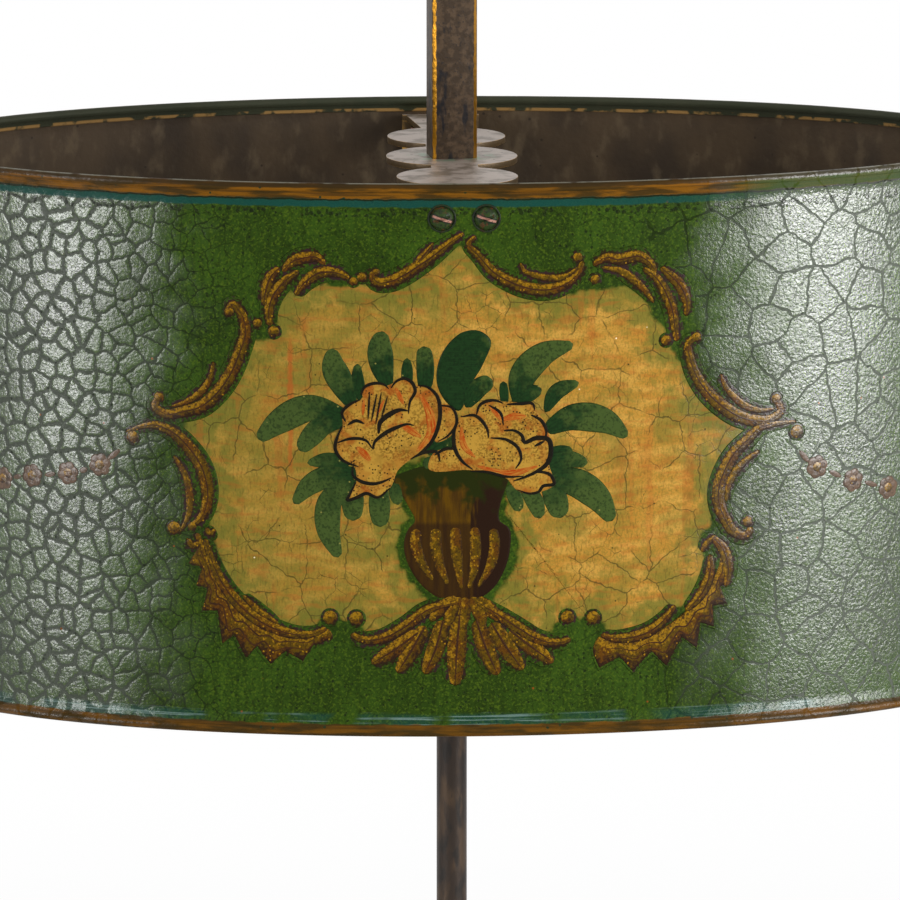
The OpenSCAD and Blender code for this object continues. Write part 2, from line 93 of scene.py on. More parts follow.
class Value:
    """A number, colour or place in a shader: sums and textures on it lay the nodes that work them out.

    Masks run from 0 to 1, and a | b is the larger of two masks.  Sizes of textures are in millimetres.
    """

    def __init__(self, tree: Tree, socket: bpy.types.NodeSocket) -> None:
        """Holds an output socket and the tree that it is in."""
        self.tree, self.socket = tree, socket

    def calc(self, operation: str, *terms: "Value | float") -> "Value":
        """Works out one sum on this value and up to two more terms."""
        return add(self.tree, "Math", dict(enumerate((self, *terms))), operation=operation)

    def __add__(self, other: "Value | float") -> "Value":
        """The sum."""
        return self.calc("ADD", other)

    def __sub__(self, other: "Value | float") -> "Value":
        """The difference."""
        return self.calc("SUBTRACT", other)

    def __rsub__(self, other: float) -> "Value":
        """The difference from a plain number."""
        return add(self.tree, "Math", {0: other, 1: self}, operation="SUBTRACT")

    def __mul__(self, other: "Value | float") -> "Value":
        """The product."""
        return self.calc("MULTIPLY", other)

    def __or__(self, other: "Value | float") -> "Value":
        """The larger of the two, which unites two masks."""
        return self.calc("MAXIMUM", other)

    def __abs__(self) -> "Value":
        """The size without its sign."""
        return self.calc("ABSOLUTE")

    def axis(self, name: str) -> "Value":
        """One of the three numbers of a place: "X", "Y" or "Z"."""
        return add(self.tree, "SeparateXYZ", {0: self}, out=name)

    def length(self) -> "Value":
        """Distance of a place from the origin."""
        return add(self.tree, "VectorMath", {0: self}, out="Value", operation="LENGTH")

    def times(self, factors: Triple) -> "Value":
        """Multiplies the three numbers of a place by three factors."""
        return add(self.tree, "VectorMath", {0: self, 1: factors}, operation="MULTIPLY")

    def mapped(self, scale: Triple = (1.0, 1.0, 1.0), turn: Triple = (0.0, 0.0, 0.0)) -> "Value":
        """Scales and turns a place, so that a texture on it is drawn out or slanted."""
        return add(self.tree, "Mapping", {"Vector": self, "Scale": scale, "Rotation": turn})

    def ramp(self, low: "Value | float", high: "Value | float") -> "Value":
        """Rises smoothly from 0 at low to 1 at high, or falls if low is the larger."""
        return add(self.tree, "MapRange", {0: self, 1: low, 2: high}, interpolation_type="SMOOTHSTEP")

    def spread(self, low: float, high: float, start: float, end: float) -> "Value":
        """Runs evenly from start at low to end at high."""
        return add(self.tree, "MapRange", {0: self, 1: low, 2: high, 3: start, 4: end})

    def noise(self, size: float, detail: float, out: int = 0, **more: float) -> "Value":
        """Fractal noise with blotches of the given size, in the place's own unit."""
        return add(self.tree, "TexNoise", {"Vector": self, "Scale": 1 / size, "Detail": detail, **more}, out)

    def cloud(self, size: float, low: float = 0.4, high: float = 0.6, detail: float = 3.0) -> "Value":
        """Soft blotches: fractal noise whose values from low to high are spread over 0 to 1.

        Args:
            size: Size of a blotch.
            low: Noise value that gives 0.
            high: Noise value that gives 1.
            detail: Number of finer octaves.

        Returns:
            A mask.
        """
        return self.noise(size * MM, detail).ramp(low, high)

    def wander(self, size: float, reach: float) -> "Value":
        """Moves each place by up to about reach, along noise of the given size."""
        drift = self.noise(size * MM, 2.0, 1)
        centred = add(self.tree, "VectorMath", {0: drift, 1: (0.5, 0.5, 0.5)}, operation="SUBTRACT")
        scaled = add(self.tree, "VectorMath", {0: centred, "Scale": 2 * reach * MM}, operation="SCALE")
        return add(self.tree, "VectorMath", {0: self, 1: scaled}, operation="ADD")

    def cell_edge(self, cell: float) -> "Value":
        """Distance to the nearest crack between flat cells, as a share of the cell's size."""
        return add(self.tree, "TexVoronoi", {"Vector": self, "Scale": 1 / (cell * MM)}, feature="DISTANCE_TO_EDGE",
                   voronoi_dimensions="2D")

    def crackle(self, cell: float, width: float) -> "Value":
        """Craquelure on the unrolled wall: lines along the borders of wandering cells.

        Args:
            cell: Size of the cells.
            width: Half the width of a crack.

        Returns:
            A mask that is 1 in a crack.
        """
        edge = self.wander(0.3 * cell, 0.12 * cell).cell_edge(cell)
        return edge.ramp(1.4 * width / cell, 0.6 * width / cell)

    def speckle(self, cell: float, radius: float, share: float) -> "Value":
        """Separate round specks, in a share of the cells.

        Args:
            cell: Mean distance between cells.
            radius: Radius of a speck.
            share: Share of the cells that hold a speck.

        Returns:
            A mask that is 1 on a speck.
        """
        near, tint = (add(self.tree, "TexVoronoi", {"Vector": self, "Scale": 1 / (cell * MM)}, out=out)
                      for out in ("Distance", "Color"))
        dice = add(self.tree, "SeparateColor", {0: tint})
        return near.ramp(1.2 * radius / cell, 0.8 * radius / cell) * dice.calc("LESS_THAN", share)


def add(tree: Tree, kind: str, inputs: dict | None = None, out: int | str = 0, **settings: object) -> Value | None:
    """Adds one node with its settings, values and links.

    Args:
        tree: The node tree that it goes into.
        kind: The node's type without "ShaderNode".
        inputs: Its sockets by name or number; a Value is linked, a hex colour is turned linear.
        out: The output that is wanted.
        settings: The node's own properties.

    Returns:
        The wanted output, or None for a node that has none.
    """
    made = tree.nodes.new("ShaderNode" + kind)
    for key, value in settings.items():
        setattr(made, key, value)
    for key, value in (inputs or {}).items():
        if isinstance(value, Value):
            tree.links.new(value.socket, made.inputs[key])
        else:
            made.inputs[key].default_value = linear(value) if isinstance(value, str) else value
    return Value(tree, made.outputs[out]) if len(made.outputs) else None


def layered(ground: str | Value, *coats: tuple[Value, str | Value]) -> Value:
    """Lays paints over each other, as coats that each cover where their mask is 1.

    Args:
        ground: The lowest colour.
        coats: Pairs of a mask and a colour, from below upwards.

    Returns:
        The colour that is seen.
    """
    seen = ground
    for mask, colour in coats:
        seen = add(mask.tree, "Mix", {0: mask, 6: seen, 7: colour}, out=2, data_type="RGBA")
    return seen


# --------------------------------------------------------------------------------------
# Finishes
# --------------------------------------------------------------------------------------


@dataclass
class Coat:
    """What a finish gives its shader: the sockets' values, and the relief with its depth in millimetres."""

    inputs: dict
    height: Value
    relief: float = 0.05


class Finish:
    """A surface finish: it is laid out once, under its own name, and shared by the pieces that have it."""

    label: str

    def coat(self, tree: Tree) -> Coat:
        """Lays the finish's own nodes and returns what they give."""
        raise NotImplementedError

    def place(self, tree: Tree) -> Value:
        """The place on the object, in metres."""
        return add(tree, "TexCoord", out="Object")

    def skin(self, tree: Tree) -> Value:
        """The attribute skin of painted pieces, in millimetres or as shares; each paint says what it holds."""
        return add(tree, "Attribute", out="Vector", attribute_name="skin")

    def right(self, tree: Tree) -> Value:
        """Distance to the right of the lamp's middle, in millimetres."""
        return self.place(tree).axis("X") * (1 / MM)

    def up(self, tree: Tree) -> Value:
        """Height above the shade's lower edge, in millimetres."""
        return (self.place(tree).axis("Z") - SHADE_LOW[2]) * (1 / MM)

    def material(self) -> bpy.types.Material:
        """Makes the material with its shader and relief, or returns it if it is made already."""
        found = bpy.data.materials.get(self.label)
        if found:
            return found
        made = bpy.data.materials.new(self.label)
        tree = bare_tree(made)
        coat = self.coat(tree)
        bump = add(tree, "Bump", {"Strength": 1.0, "Distance": coat.relief * MM, "Height": coat.height})
        shader = add(tree, "BsdfPrincipled", {**coat.inputs, "Normal": bump, "Coat Normal": bump})
        add(tree, "OutputMaterial", {0: shader})
        return made


class WallPaint(Finish):
    """A paint on the shade's wall: all of them lie under one oil varnish, which is thick and glossy at the ends.

    left_end and right_end give, in millimetres from the middle, where the thick varnish starts and where it is full.
    """

    green: str = "#2a400d"
    deep_green: str = "#142004"
    moss: str = "#435612"
    gloss: float = 0.45
    left_end: Point = (-84.0, -136.0)
    right_end: Point = (68.0, 118.0)
    ragged: float = 16.0

    def unrolled(self, tree: Tree) -> Value:
        """The place on the unrolled wall, in metres: s and h, and 0."""
        return self.skin(tree).times((MM, MM, 0.0))

    def thick(self, tree: Tree, inwards: float = 0.0) -> tuple[Value, Value]:
        """Masks of the thick varnish at the left and right ends, with ragged borders.

        Args:
            tree: The node tree.
            inwards: How much further towards the middle the masks reach, in millimetres.

        Returns:
            The left and the right mask.
        """
        at = (self.place(tree).cloud(12.0, 0.3, 0.7) - 0.5) * self.ragged + self.right(tree)
        return (at.ramp(*(edge + inwards for edge in self.left_end)),
                at.ramp(*(edge - inwards for edge in self.right_end)))

    def peel(self, tree: Tree) -> Value:
        """Orange peel of the varnish: about 1.1 mm from ridge to ridge, drawn at that size."""
        return self.place(tree).noise(1.15 * MM, 2.5, Roughness=0.6, Distortion=0.5)

    def rubbed_down(self, tree: Tree) -> Value:
        """How much gloss handling has left: less low down, least along the foot and at the far left."""
        up = self.up(tree)
        foot, far_left = up.spread(5.0, 26.0, 0.6, 1.0), self.right(tree).spread(-182.0, -158.0, 0.6, 1.0)
        return up.spread(10.0, 135.0, 0.74, 1.0) * foot * far_left

    def pebbled(self, tree: Tree) -> Value:
        """The green of the japanning: mid green with mossy flecks, and deep green pits about a millimetre across,
        painted into the orange peel's hollows as painted shade.
        """
        place = self.place(tree)
        return layered(
            self.green,
            (place.cloud(26.0, 0.35, 0.65) * 0.5, self.deep_green),
            (place.mapped((1.0, 1.0, 0.14)).cloud(2.2, 0.45, 0.65) * 0.35, self.deep_green),
            (place.cloud(0.8, 0.5, 0.66) * 0.6, self.moss),
            # Painted shade: deep green where the orange peel is low, darkening its hollows.
            (self.peel(tree).ramp(0.48, 0.34) * 0.65, self.deep_green),
        )

    def varnished(self, tree: Tree, colour: Value, height: Value | float = 0.0, relief: float = 0.11,
                  rough: Value | float = 0.42, bare: Value | float = 0.0) -> Coat:
        """Puts the varnish over a paint.

        Args:
            tree: The node tree.
            colour: The paint's colour.
            height: The paint's own relief, as a share of the peel's.
            relief: Depth of the peel, in millimetres.
            rough: Roughness of the paint itself.
            bare: Mask of what the varnish has left bare.

        Returns:
            The coat.
        """
        left, right = self.thick(tree)
        ends = left | right
        varnish = ends * (1.0 - bare) * self.gloss * self.rubbed_down(tree)
        peel = (self.peel(tree) - 0.5) * (ends * 0.9 + 1.0)
        return Coat({"Base Color": colour, "Roughness": rough, "Specular IOR Level": 0.05, "IOR": 1.5,
                     "Coat Weight": varnish, "Coat Roughness": 0.18, "Coat IOR": 1.8}, peel + height, relief)


@dataclass(frozen=True)
class JapannedGround(WallPaint):
    """Green japanning on tinplate: stoved oil varnish, laid on by brush.

    It is satin with a fine orange peel.  Towards the ends the varnish is thick and glossy and has
    shrunk: into small raised islands on the left, and into wide plates on the right.
    """

    label: str = "green_japanning_on_tinplate"
    gloss: float = 1.0
    crack_grey: str = "#42463f"
    pale_crack: str = "#4f534c"
    rust: str = "#6a3c10"
    teal: str = "#0e3a33"
    glint_teal: str = "#6f8580"
    ochre: str = "#6e460a"
    worn_ochre: str = "#2b220c"
    crest_brown: str = "#2c200d"
    fly_speck: str = "#1d2a18"
    bare_tin: str = "#6e6b5c"
    pit_black: str = "#0f1807"
    bubble_black: str = "#0b0f08"
    rim_line: str = "#141b0b"
    island_cell: float = 6.6
    plate_cell: float = 13.5
    ochre_edge: float = 182.3
    teal_low: float = 179.4
    bubble_low: float = 176.0

    def coat(self, tree: Tree) -> Coat:
        """Lays ground, craquelure, the banded rims and the row of bubbles under the upper band."""
        place, sheet, x, up = self.place(tree), self.unrolled(tree), self.right(tree), self.up(tree)
        left, right = self.thick(tree)
        near_left, near_right = self.thick(tree, 24.0)

        # Left: islands 5 to 8 mm wide between grey channels.  Right: plates of 15 mm, hairline cracks.
        island = sheet.wander(5.0, 1.6).wander(1.7, 0.75).cell_edge(self.island_cell)
        plate = sheet.wander(9.0, 2.6).wander(2.6, 0.8).cell_edge(self.plate_cell)
        channel = left.spread(0.0, 1.0, 0.16 / self.island_cell, 0.5 / self.island_cell)
        left_crack = island.ramp(channel * 1.7, channel) * near_left.ramp(0.0, 0.7)
        right_crack = plate.ramp(0.5 / self.plate_cell, 0.24 / self.plate_cell) * near_right.ramp(0.0, 0.6)
        side_line = sheet.crackle(6.0, 0.16) * place.cloud(15.0, 0.46, 0.54) * right * 0.8
        thin_line = sheet.crackle(11.0, 0.14) * place.cloud(24.0, 0.46, 0.56) * 0.6
        crack = left_crack | right_crack | side_line

        pits = place.speckle(2.1, 0.42, 0.45)
        row = up.ramp(self.bubble_low, self.bubble_low + 0.8) * up.ramp(self.teal_low, self.teal_low - 0.7)
        bubbles = place.speckle(1.9, 0.72, 0.9) * row

        # The rims: an ochre band with a dark line under it, and a teal band next to that.
        wobble = (place.cloud(5.0, 0.2, 0.8) - 0.5) * 0.6
        level = up + wobble
        rim_top = level.ramp(self.ochre_edge - 0.25, self.ochre_edge + 0.25)
        rim_low = level.ramp(4.4, 3.8)
        rim = rim_top | rim_low
        line = level.ramp(self.ochre_edge - 0.8, self.ochre_edge - 0.4) * (1.0 - rim_top)
        band_top = level.ramp(self.teal_low - 0.2, self.teal_low + 0.4) * x.ramp(118.0, 60.0)
        band_low = level.ramp(8.4, 6.8) * place.cloud(26.0, 0.42, 0.55)
        streak = sheet.mapped((0.02, 1.0, 1.0))
        crest = (wobble * 0.6 + up).ramp(SHADE_HEIGHT - 1.9, SHADE_HEIGHT - 1.3)
        tin = up.ramp(SHADE_HEIGHT - 0.35, SHADE_HEIGHT - 0.1) * place.cloud(9.0, 0.38, 0.5)
        ochre = layered(
            self.ochre,
            (streak.cloud(1.1, 0.45, 0.65, 2.0) * 0.7, self.crest_brown),
            (sheet.mapped((0.16, 1.0, 1.0)).cloud(2.6, 0.42, 0.6, 7.0) * 0.85, self.worn_ochre),
            (rim_low * 0.45, self.worn_ochre),
            (place.speckle(4.0, 0.5, 0.35), self.fly_speck),
            (x.ramp(84.0, 106.0) * rim_top * 0.85, self.green),
            (crest * 0.85, self.crest_brown),
            (tin, self.bare_tin),
        )
        colour = layered(
            self.pebbled(tree),
            (thin_line * (1.0 - (left | right)), self.deep_green),
            (crack * 0.92, layered(self.deep_green, (left, self.crack_grey), (right, self.pale_crack))),
            (pits * 0.7, self.pit_black),
            (place.speckle(7.5, 0.42, 0.3), self.rust),
            (band_top * 0.9 | band_low * 0.5, self.teal),
            # Painted highlight: pale teal streaks on the lower band stand for glints of light on it.
            (band_low * streak.cloud(0.9, 0.52, 0.6, 2.0) * 0.5, self.glint_teal),
            (bubbles * 0.65, self.bubble_black),
            (line, self.rim_line),
            (rim, ochre),
        )
        bare = crack * 0.92 | rim * 0.6 | band_top * 0.88
        dome = (island.ramp(0.02, 0.2) - 1.0) * (near_left * 0.35 + left * 1.15)
        height = dome + bubbles * 1.6 - (right_crack | pits) * 0.9
        return self.varnished(tree, colour, height * (1.0 - rim), 0.13, crack * 0.25 + 0.42, bare)


@dataclass(frozen=True)
class UmberLining(Finish):
    """Bare side of the tinplate: an old brown wash over tin, dull and blotched, greenish at the folded hem."""

    label: str = "brown_wash_on_tinplate"
    brown: str = "#433524"
    dark: str = "#281f15"
    grey: str = "#63543f"
    hem_green: str = "#232a18"
    hem_gold: str = "#8a6a3a"

    def coat(self, tree: Tree) -> Coat:
        """Lays brown blotches and drips, and the hem's green with a broken gold line at its lower edge."""
        place, up, fold = self.place(tree), self.up(tree), SHADE_HEIGHT - HEM_DEPTH
        drip = place.mapped((1.0, 1.0, 0.6))
        colour = layered(
            self.brown,
            (drip.cloud(16.0, 0.34, 0.7, 8.0) * 0.8, self.dark),
            (drip.cloud(6.0, 0.5, 0.74, 8.0) * 0.5, self.grey),
            (place.speckle(5.0, 0.5, 0.35), self.dark),
            (up.ramp(fold - 0.2, fold + 0.2) * 0.85, self.hem_green),
            (up.ramp(fold - 0.3, fold) * up.ramp(fold + 1.3, fold + 0.9) * place.cloud(6.0, 0.45, 0.55),
             self.hem_gold),
        )
        return Coat({"Base Color": colour, "Roughness": 0.62, "Metallic": 0.25, "Specular IOR Level": 0.3},
                    place.cloud(2.0, 0.3, 0.7))


@dataclass(frozen=True)
class CreamField(WallPaint):
    """Oil paint over the japanning: an ochre cream field, glazed green where it meets darker paint, finely cracked.

    Its skin holds s, h and the distance to the nearest edge.
    """

    label: str = "cream_oil_paint"
    cream: str = "#9b7029"
    pale: str = "#ad8238"
    green_glaze: str = "#5d5b20"
    crack: str = "#3d3413"
    rust: str = "#93461a"
    chip: str = "#d8cfae"
    drip_at: Point = (-58.0, 112.0)

    def coat(self, tree: Tree) -> Coat:
        """Lays the field, its glaze by distance from the nearest edge, cracks and specks."""
        place, sheet, skin = self.place(tree), self.unrolled(tree), self.skin(tree)
        edge = skin.axis("Z")
        mottle = place.cloud(5.0, 0.3, 0.7, 8.0) - 0.5
        brush = sheet.mapped((0.3, 1.0, 1.0), (0.0, 0.0, 0.12))
        wide = sheet.crackle(13.0, 0.2) * place.cloud(14.0, 0.4, 0.52)
        fine = sheet.crackle(6.0, 0.1) * place.cloud(12.0, 0.52, 0.64)
        lines = wide | fine
        beside, above = abs(skin.axis("X") - self.drip_at[0]), abs(skin.axis("Y") - self.drip_at[1])
        drip = (mottle * 0.8 + beside).ramp(1.3, 0.4) * above.ramp(26.0, 18.0)
        colour = layered(
            self.cream,
            (brush.cloud(5.0, 0.42, 0.62, 6.0), self.pale),
            # Darker and greener towards the left of the field.
            ((mottle * 40.0 + self.right(tree)).ramp(40.0, -50.0) * 0.42, self.green_glaze),
            ((mottle * 11.0 + edge).ramp(14.0, 3.0) * 0.85, self.green_glaze),
            (place.cloud(14.0, 0.46, 0.64, 9.0) * 0.6, self.green_glaze),
            (place.cloud(0.7, 0.42, 0.62, 4.0) * 0.42, self.green_glaze),
            (sheet.mapped((1.0, 0.25, 1.0)).cloud(0.7, 0.5, 0.7, 2.0) * 0.36, self.crack),
            (brush.cloud(2.6, 0.5, 0.66, 7.0) * 0.3, self.rust),
            (sheet.mapped((1.0, 0.1, 1.0)).cloud(6.0, 0.58, 0.68) * 0.25, self.rust),
            (drip * 0.6, self.rust),
            (lines * 0.74, self.crack),
            (place.speckle(4.5, 0.3, 0.35), self.crack),
            (place.speckle(12.0, 0.36, 0.25), self.chip),
            ((mottle * 1.8 + edge).ramp(3.3, 1.7), self.pebbled(tree)),
        )
        return self.varnished(tree, colour, lines * -0.6, 0.06, 0.5)


@dataclass(frozen=True)
class ShellGold(WallPaint):
    """Gold size and bronze powder glazed with brown: ochre gold on its upper side, purple-brown in its shadow.

    Its skin holds the distance along the stroke, the share across it, and how far it faces the light.
    """

    label: str = "glazed_bronze_powder_gilding"
    gold: str = "#4b3807"
    light: str = "#83600f"
    amber: str = "#4e2d08"
    shade: str = "#22140d"

    def coat(self, tree: Tree) -> Coat:
        """Lays light along the stroke's upper side and shadow along its lower one, broken by hatching and specks."""
        place, skin = self.place(tree), self.skin(tree)
        rounded = (place.cloud(0.9, 0.3, 0.7) - 0.5) * 0.6 + abs(skin.axis("Y"))
        hatched = (skin.mapped((0.4, 1.2, 0.0)).noise(1.0, 2.0) - 0.5) * 1.1
        broken = (place.cloud(1.2, 0.3, 0.7) - 0.5) * 0.7 + (hatched + skin.axis("Z"))
        colour = layered(
            self.gold,
            (place.cloud(5.0, 0.45, 0.62) * 0.8, self.amber),
            (broken.ramp(0.0, 0.6) * 0.9, self.light),
            (broken.ramp(-0.25, -0.8) * 0.92, self.shade),
            (rounded.ramp(0.62, 1.0) * 0.75, self.shade),
            (place.cloud(0.7, 0.5, 0.62) * 0.6, self.shade),
            (place.speckle(1.1, 0.3, 0.22), self.light),
        )
        return self.varnished(tree, colour, relief=0.1)


@dataclass(frozen=True)
class ShadowGlaze(WallPaint):
    """Purple-brown glaze under the gilding, thin at its borders, where the ground's green shows through."""

    label: str = "purple_brown_shadow_glaze"
    glaze: str = "#20180a"
    plum: str = "#29191a"

    def coat(self, tree: Tree) -> Coat:
        """Lays the glaze inside, and the ground's own green from about half way out, with a stippled border."""
        place = self.place(tree)
        stipple = (place.cloud(1.0, 0.3, 0.7) - 0.5) * 0.6
        thin = (stipple + abs(self.skin(tree).axis("Y"))).ramp(0.52, 0.86)
        dark = layered(self.glaze, (place.cloud(6.0, 0.45, 0.6), self.plum))
        return self.varnished(tree, layered(dark, (thin, self.pebbled(tree))), relief=0.13)


@dataclass(frozen=True)
class BrushedPaint(WallPaint):
    """Artist's oil paint, thin and dragged along the stroke, so that the hairs of the brush show as streaks."""

    label: str
    colour: str
    streak: str
    amount: float = 0.6
    grain: float = 1.6

    def coat(self, tree: Tree) -> Coat:
        """Lays streaks that run along the stroke, and the grain of the ground under it."""
        place, along = self.place(tree), self.skin(tree).mapped((0.12, 3.2, 0.0))
        colour = layered(
            self.colour,
            (along.noise(0.625, 3.0).ramp(0.42, 0.66) * self.amount, self.streak),
            (place.cloud(self.grain, 0.5, 0.72) * 0.5, self.streak),
            (place.speckle(2.4, 0.3, 0.3), self.streak),
        )
        return self.varnished(tree, colour, relief=0.06, rough=0.45)


@dataclass(frozen=True)
class RosettePaint(BrushedPaint):
    """The rosettes' pinkish brown, which stands out dull and grainy from the varnish round it."""

    gloss: float = 0.35


@dataclass(frozen=True)
class LeafPaint(WallPaint):
    """Dark green oil paint of the leaves, thin enough lower down and towards the tips for the cream to grey it."""

    label: str = "leaf_oil_paint"
    green: str = "#162e13"
    dark: str = "#0b1909"
    thin: str = "#3c4b20"
    speck: str = "#6d6a35"

    def coat(self, tree: Tree) -> Coat:
        """Lays streaks along each leaf, a thin grey-green low down and at the tips, and specks of the cream."""
        place, skin = self.place(tree), self.skin(tree)
        hairs = skin.mapped((0.1, 2.4, 0.0)).noise(0.625, 4.0).ramp(0.4, 0.66)
        low = (place.cloud(7.0, 0.3, 0.7, 4.0) * 18.0 + self.up(tree)).ramp(108.0, 80.0)
        tip = ((place.cloud(3.5, 0.3, 0.7, 5.0) - 0.5) * 9.0 + skin.axis("X")).ramp(5.0, 17.0)
        colour = layered(
            self.green,
            (hairs * 0.6, self.dark),
            ((low | tip) * 0.78, self.thin),
            (place.cloud(0.9, 0.48, 0.64, 4.0) * 0.55, self.dark),
            (place.speckle(3.0, 0.3, 0.3), self.speck),
        )
        return self.varnished(tree, colour, relief=0.06, rough=0.45)


@dataclass(frozen=True)
class RosePaint(WallPaint):
    """Cream oil paint of the petals, stippled with ochre and touched with orange glaze."""

    label: str = "petal_oil_paint"
    cream: str = "#9a762c"
    ochre: str = "#583e10"
    orange: str = "#7c340a"
    dot: str = "#24180a"

    def coat(self, tree: Tree) -> Coat:
        """Lays stippled cream with blushes of orange in soft patches and along the petals' edges."""
        place = self.place(tree)
        drift = (place.cloud(4.0, 0.3, 0.7, 5.0) - 0.5) * 7.0
        rimmed = (drift + self.skin(tree).axis("Z")).ramp(4.0, 0.8)
        colour = layered(
            self.cream,
            (place.cloud(0.7, 0.46, 0.56) * place.cloud(6.0, 0.36, 0.56, 4.0) * 0.7, self.ochre),
            (place.cloud(9.0, 0.5, 0.66, 5.0) * 0.35, self.ochre),
            (place.cloud(5.0, 0.52, 0.66, 5.0) * 0.6, self.orange),
            (rimmed * 0.3, self.orange),
            (place.speckle(1.0, 0.3, 0.6) * place.cloud(7.0, 0.4, 0.56), self.dot),
        )
        return self.varnished(tree, colour, relief=0.06, rough=0.5)


@dataclass(frozen=True)
class UrnPaint(WallPaint):
    """Brown gilding of the urn: green gold on the left, turning to purple-brown on the right."""

    label: str = "urn_brown_gilding"
    gold: str = "#4c3404"
    olive: str = "#1a1f03"
    brown: str = "#1e1007"

    def coat(self, tree: Tree) -> Coat:
        """Lays gold to the left, shadow to the right and green under the flowers, by place across and up."""
        place, skin = self.place(tree), self.skin(tree)
        drawn = place.mapped((1.0, 1.0, 0.12)).cloud(1.4, 0.35, 0.65)
        colour = layered(
            self.gold,
            (drawn * 0.6, self.brown),
            ((drawn * 4.0 + skin.axis("X")).ramp(2.0, 6.5), self.brown),
            ((place.cloud(5.0, 0.3, 0.7) * 10.0 + skin.axis("Y")).ramp(84.0, 92.0), self.olive),
            (skin.axis("Y").ramp(74.0, 72.0) * 0.7, self.brown),
        )
        return self.varnished(tree, colour, relief=0.07, rough=0.5)


@dataclass(frozen=True)
class PatinatedBrass(Finish):
    """Square drawn brass under old brown lacquer: blotched face, arrises rubbed back to bright metal."""

    turn: float = 6.5
    half: float = 7.75
    label: str = "brown_lacquered_square_brass"
    brown: str = "#34281c"
    black: str = "#0c0f15"
    tan: str = "#4d3d2d"
    bright: str = "#a5741f"

    def coat(self, tree: Tree) -> Coat:
        """Lays blotches on the flats and bright metal within about 1.5 mm of the arrises."""
        place = self.place(tree)
        local = place.mapped(turn=(0.0, 0.0, -math.radians(self.turn)))
        corner = abs(local.axis("X")).calc("MINIMUM", abs(local.axis("Y")))
        ragged = place.cloud(3.0, 0.3, 0.7, 4.0) * (0.35 * MM) + corner
        rubbed = ragged.ramp((self.half - 1.25) * MM, (self.half - 0.85) * MM)
        colour = layered(
            self.brown,
            (place.cloud(2.4, 0.42, 0.62, 6.0) * 0.8, self.tan),
            (place.mapped((1.0, 1.0, 0.35)).cloud(4.5, 0.54, 0.62, 6.0) * 0.85, self.black),
            (place.cloud(0.8, 0.58, 0.7) * 0.6, self.black),
            (rubbed, self.bright),
        )
        return Coat({"Base Color": colour, "Roughness": rubbed * -0.2 + 0.5, "Metallic": rubbed * 0.75 + 0.1,
                     "Specular IOR Level": 0.2}, place.cloud(1.6, 0.3, 0.7, 4.0))


@dataclass(frozen=True)
class WornStrapBrass(Finish):
    """Flat brass under a greyed, once silvered surface, coloured by which way each face points: pink-grey on the flat
    top as painted light from above, brown at the sides as painted shade, and gold on the rounded edges, partly worn
    metal and partly painted highlight.
    """

    label: str = "greyed_strap_brass"
    top: str = "#a3958a"
    stain: str = "#6f6355"
    side: str = "#57452c"
    edge: str = "#c2933f"
    verdigris: str = "#7f8f78"
    speck: str = "#40372b"

    def coat(self, tree: Tree) -> Coat:
        """Lays the pale top and the brown sides by which way each face points, as painted light and painted shade, gold
        on the rounded edges as worn metal and painted highlight, and verdigris round the slide.
        """
        place = self.place(tree)
        # Painted light and shade: upward faces get the pale top, steep faces the brown side, and the rounded edges
        # between them gold.
        facing = abs(add(tree, "NewGeometry", out="Normal").axis("Z"))
        flat = facing.ramp(0.9, 0.97)
        rounded = facing.ramp(0.12, 0.4) * (1.0 - flat)
        solder = place.times((1.0, 1.0, 0.0)).length().ramp(17.0 * MM, 11.0 * MM) * place.cloud(4.0, 0.42, 0.6, 4.0)
        top = layered(self.top, (place.cloud(7.0, 0.45, 0.65, 5.0), self.stain), (solder, self.verdigris),
                      (place.speckle(3.5, 0.45, 0.3), self.speck))
        colour = layered(self.side, (flat, top), (rounded * place.cloud(5.0, 0.35, 0.5), self.edge))
        return Coat({"Base Color": colour, "Roughness": 0.45, "Metallic": 0.45}, place.cloud(1.3, 0.3, 0.7, 4.0))


@dataclass(frozen=True)
class OverpaintedScrew(Finish):
    """Brass screw heads painted over with the wall, then rubbed: dark green, with painted shade along the slots and
    pink copper in them, partly bare metal and partly painted highlight.
    """

    centre_z: float = 0.5358
    slot_turn: float = 18.0
    label: str = "overpainted_screw_brass"
    paint: str = "#22330e"
    dark: str = "#0d120a"
    copper: str = "#94695a"
    rust: str = "#4d2a14"

    def coat(self, tree: Tree) -> Coat:
        """Lays ragged paint, painted shade within about a millimetre of a line through each head's centre, and copper
        within half a slot's width of that line, partly bare metal and partly painted highlight.
        """
        place, turn = self.place(tree), math.radians(self.slot_turn)
        x, z = place.axis("X"), place.axis("Z") - self.centre_z
        local = x - x.calc("SIGN") * (SCREW_PITCH / 2 * MM)
        off = abs(local * math.sin(turn) + z * math.cos(turn))
        along = abs(local * math.cos(turn) - z * math.sin(turn))
        slot = off.ramp(0.48 * MM, 0.3 * MM) * along.ramp(3.6 * MM, 3.0 * MM)
        colour = layered(
            self.paint,
            (place.cloud(1.2, 0.45, 0.6, 4.0) * 0.7, self.dark),
            (place.cloud(1.8, 0.55, 0.66, 4.0) * 0.7, self.rust),
            # Painted shade darkens each slot; the copper in it is partly bare metal and partly a painted highlight.
            (off.ramp(1.1 * MM, 0.7 * MM) * 0.75, self.dark),
            (slot * place.cloud(1.5, 0.25, 0.4), self.copper),
        )
        return Coat({"Base Color": colour, "Roughness": 0.42, "Specular IOR Level": 0.15},
                    place.cloud(1.6, 0.3, 0.7, 4.0), 0.12)


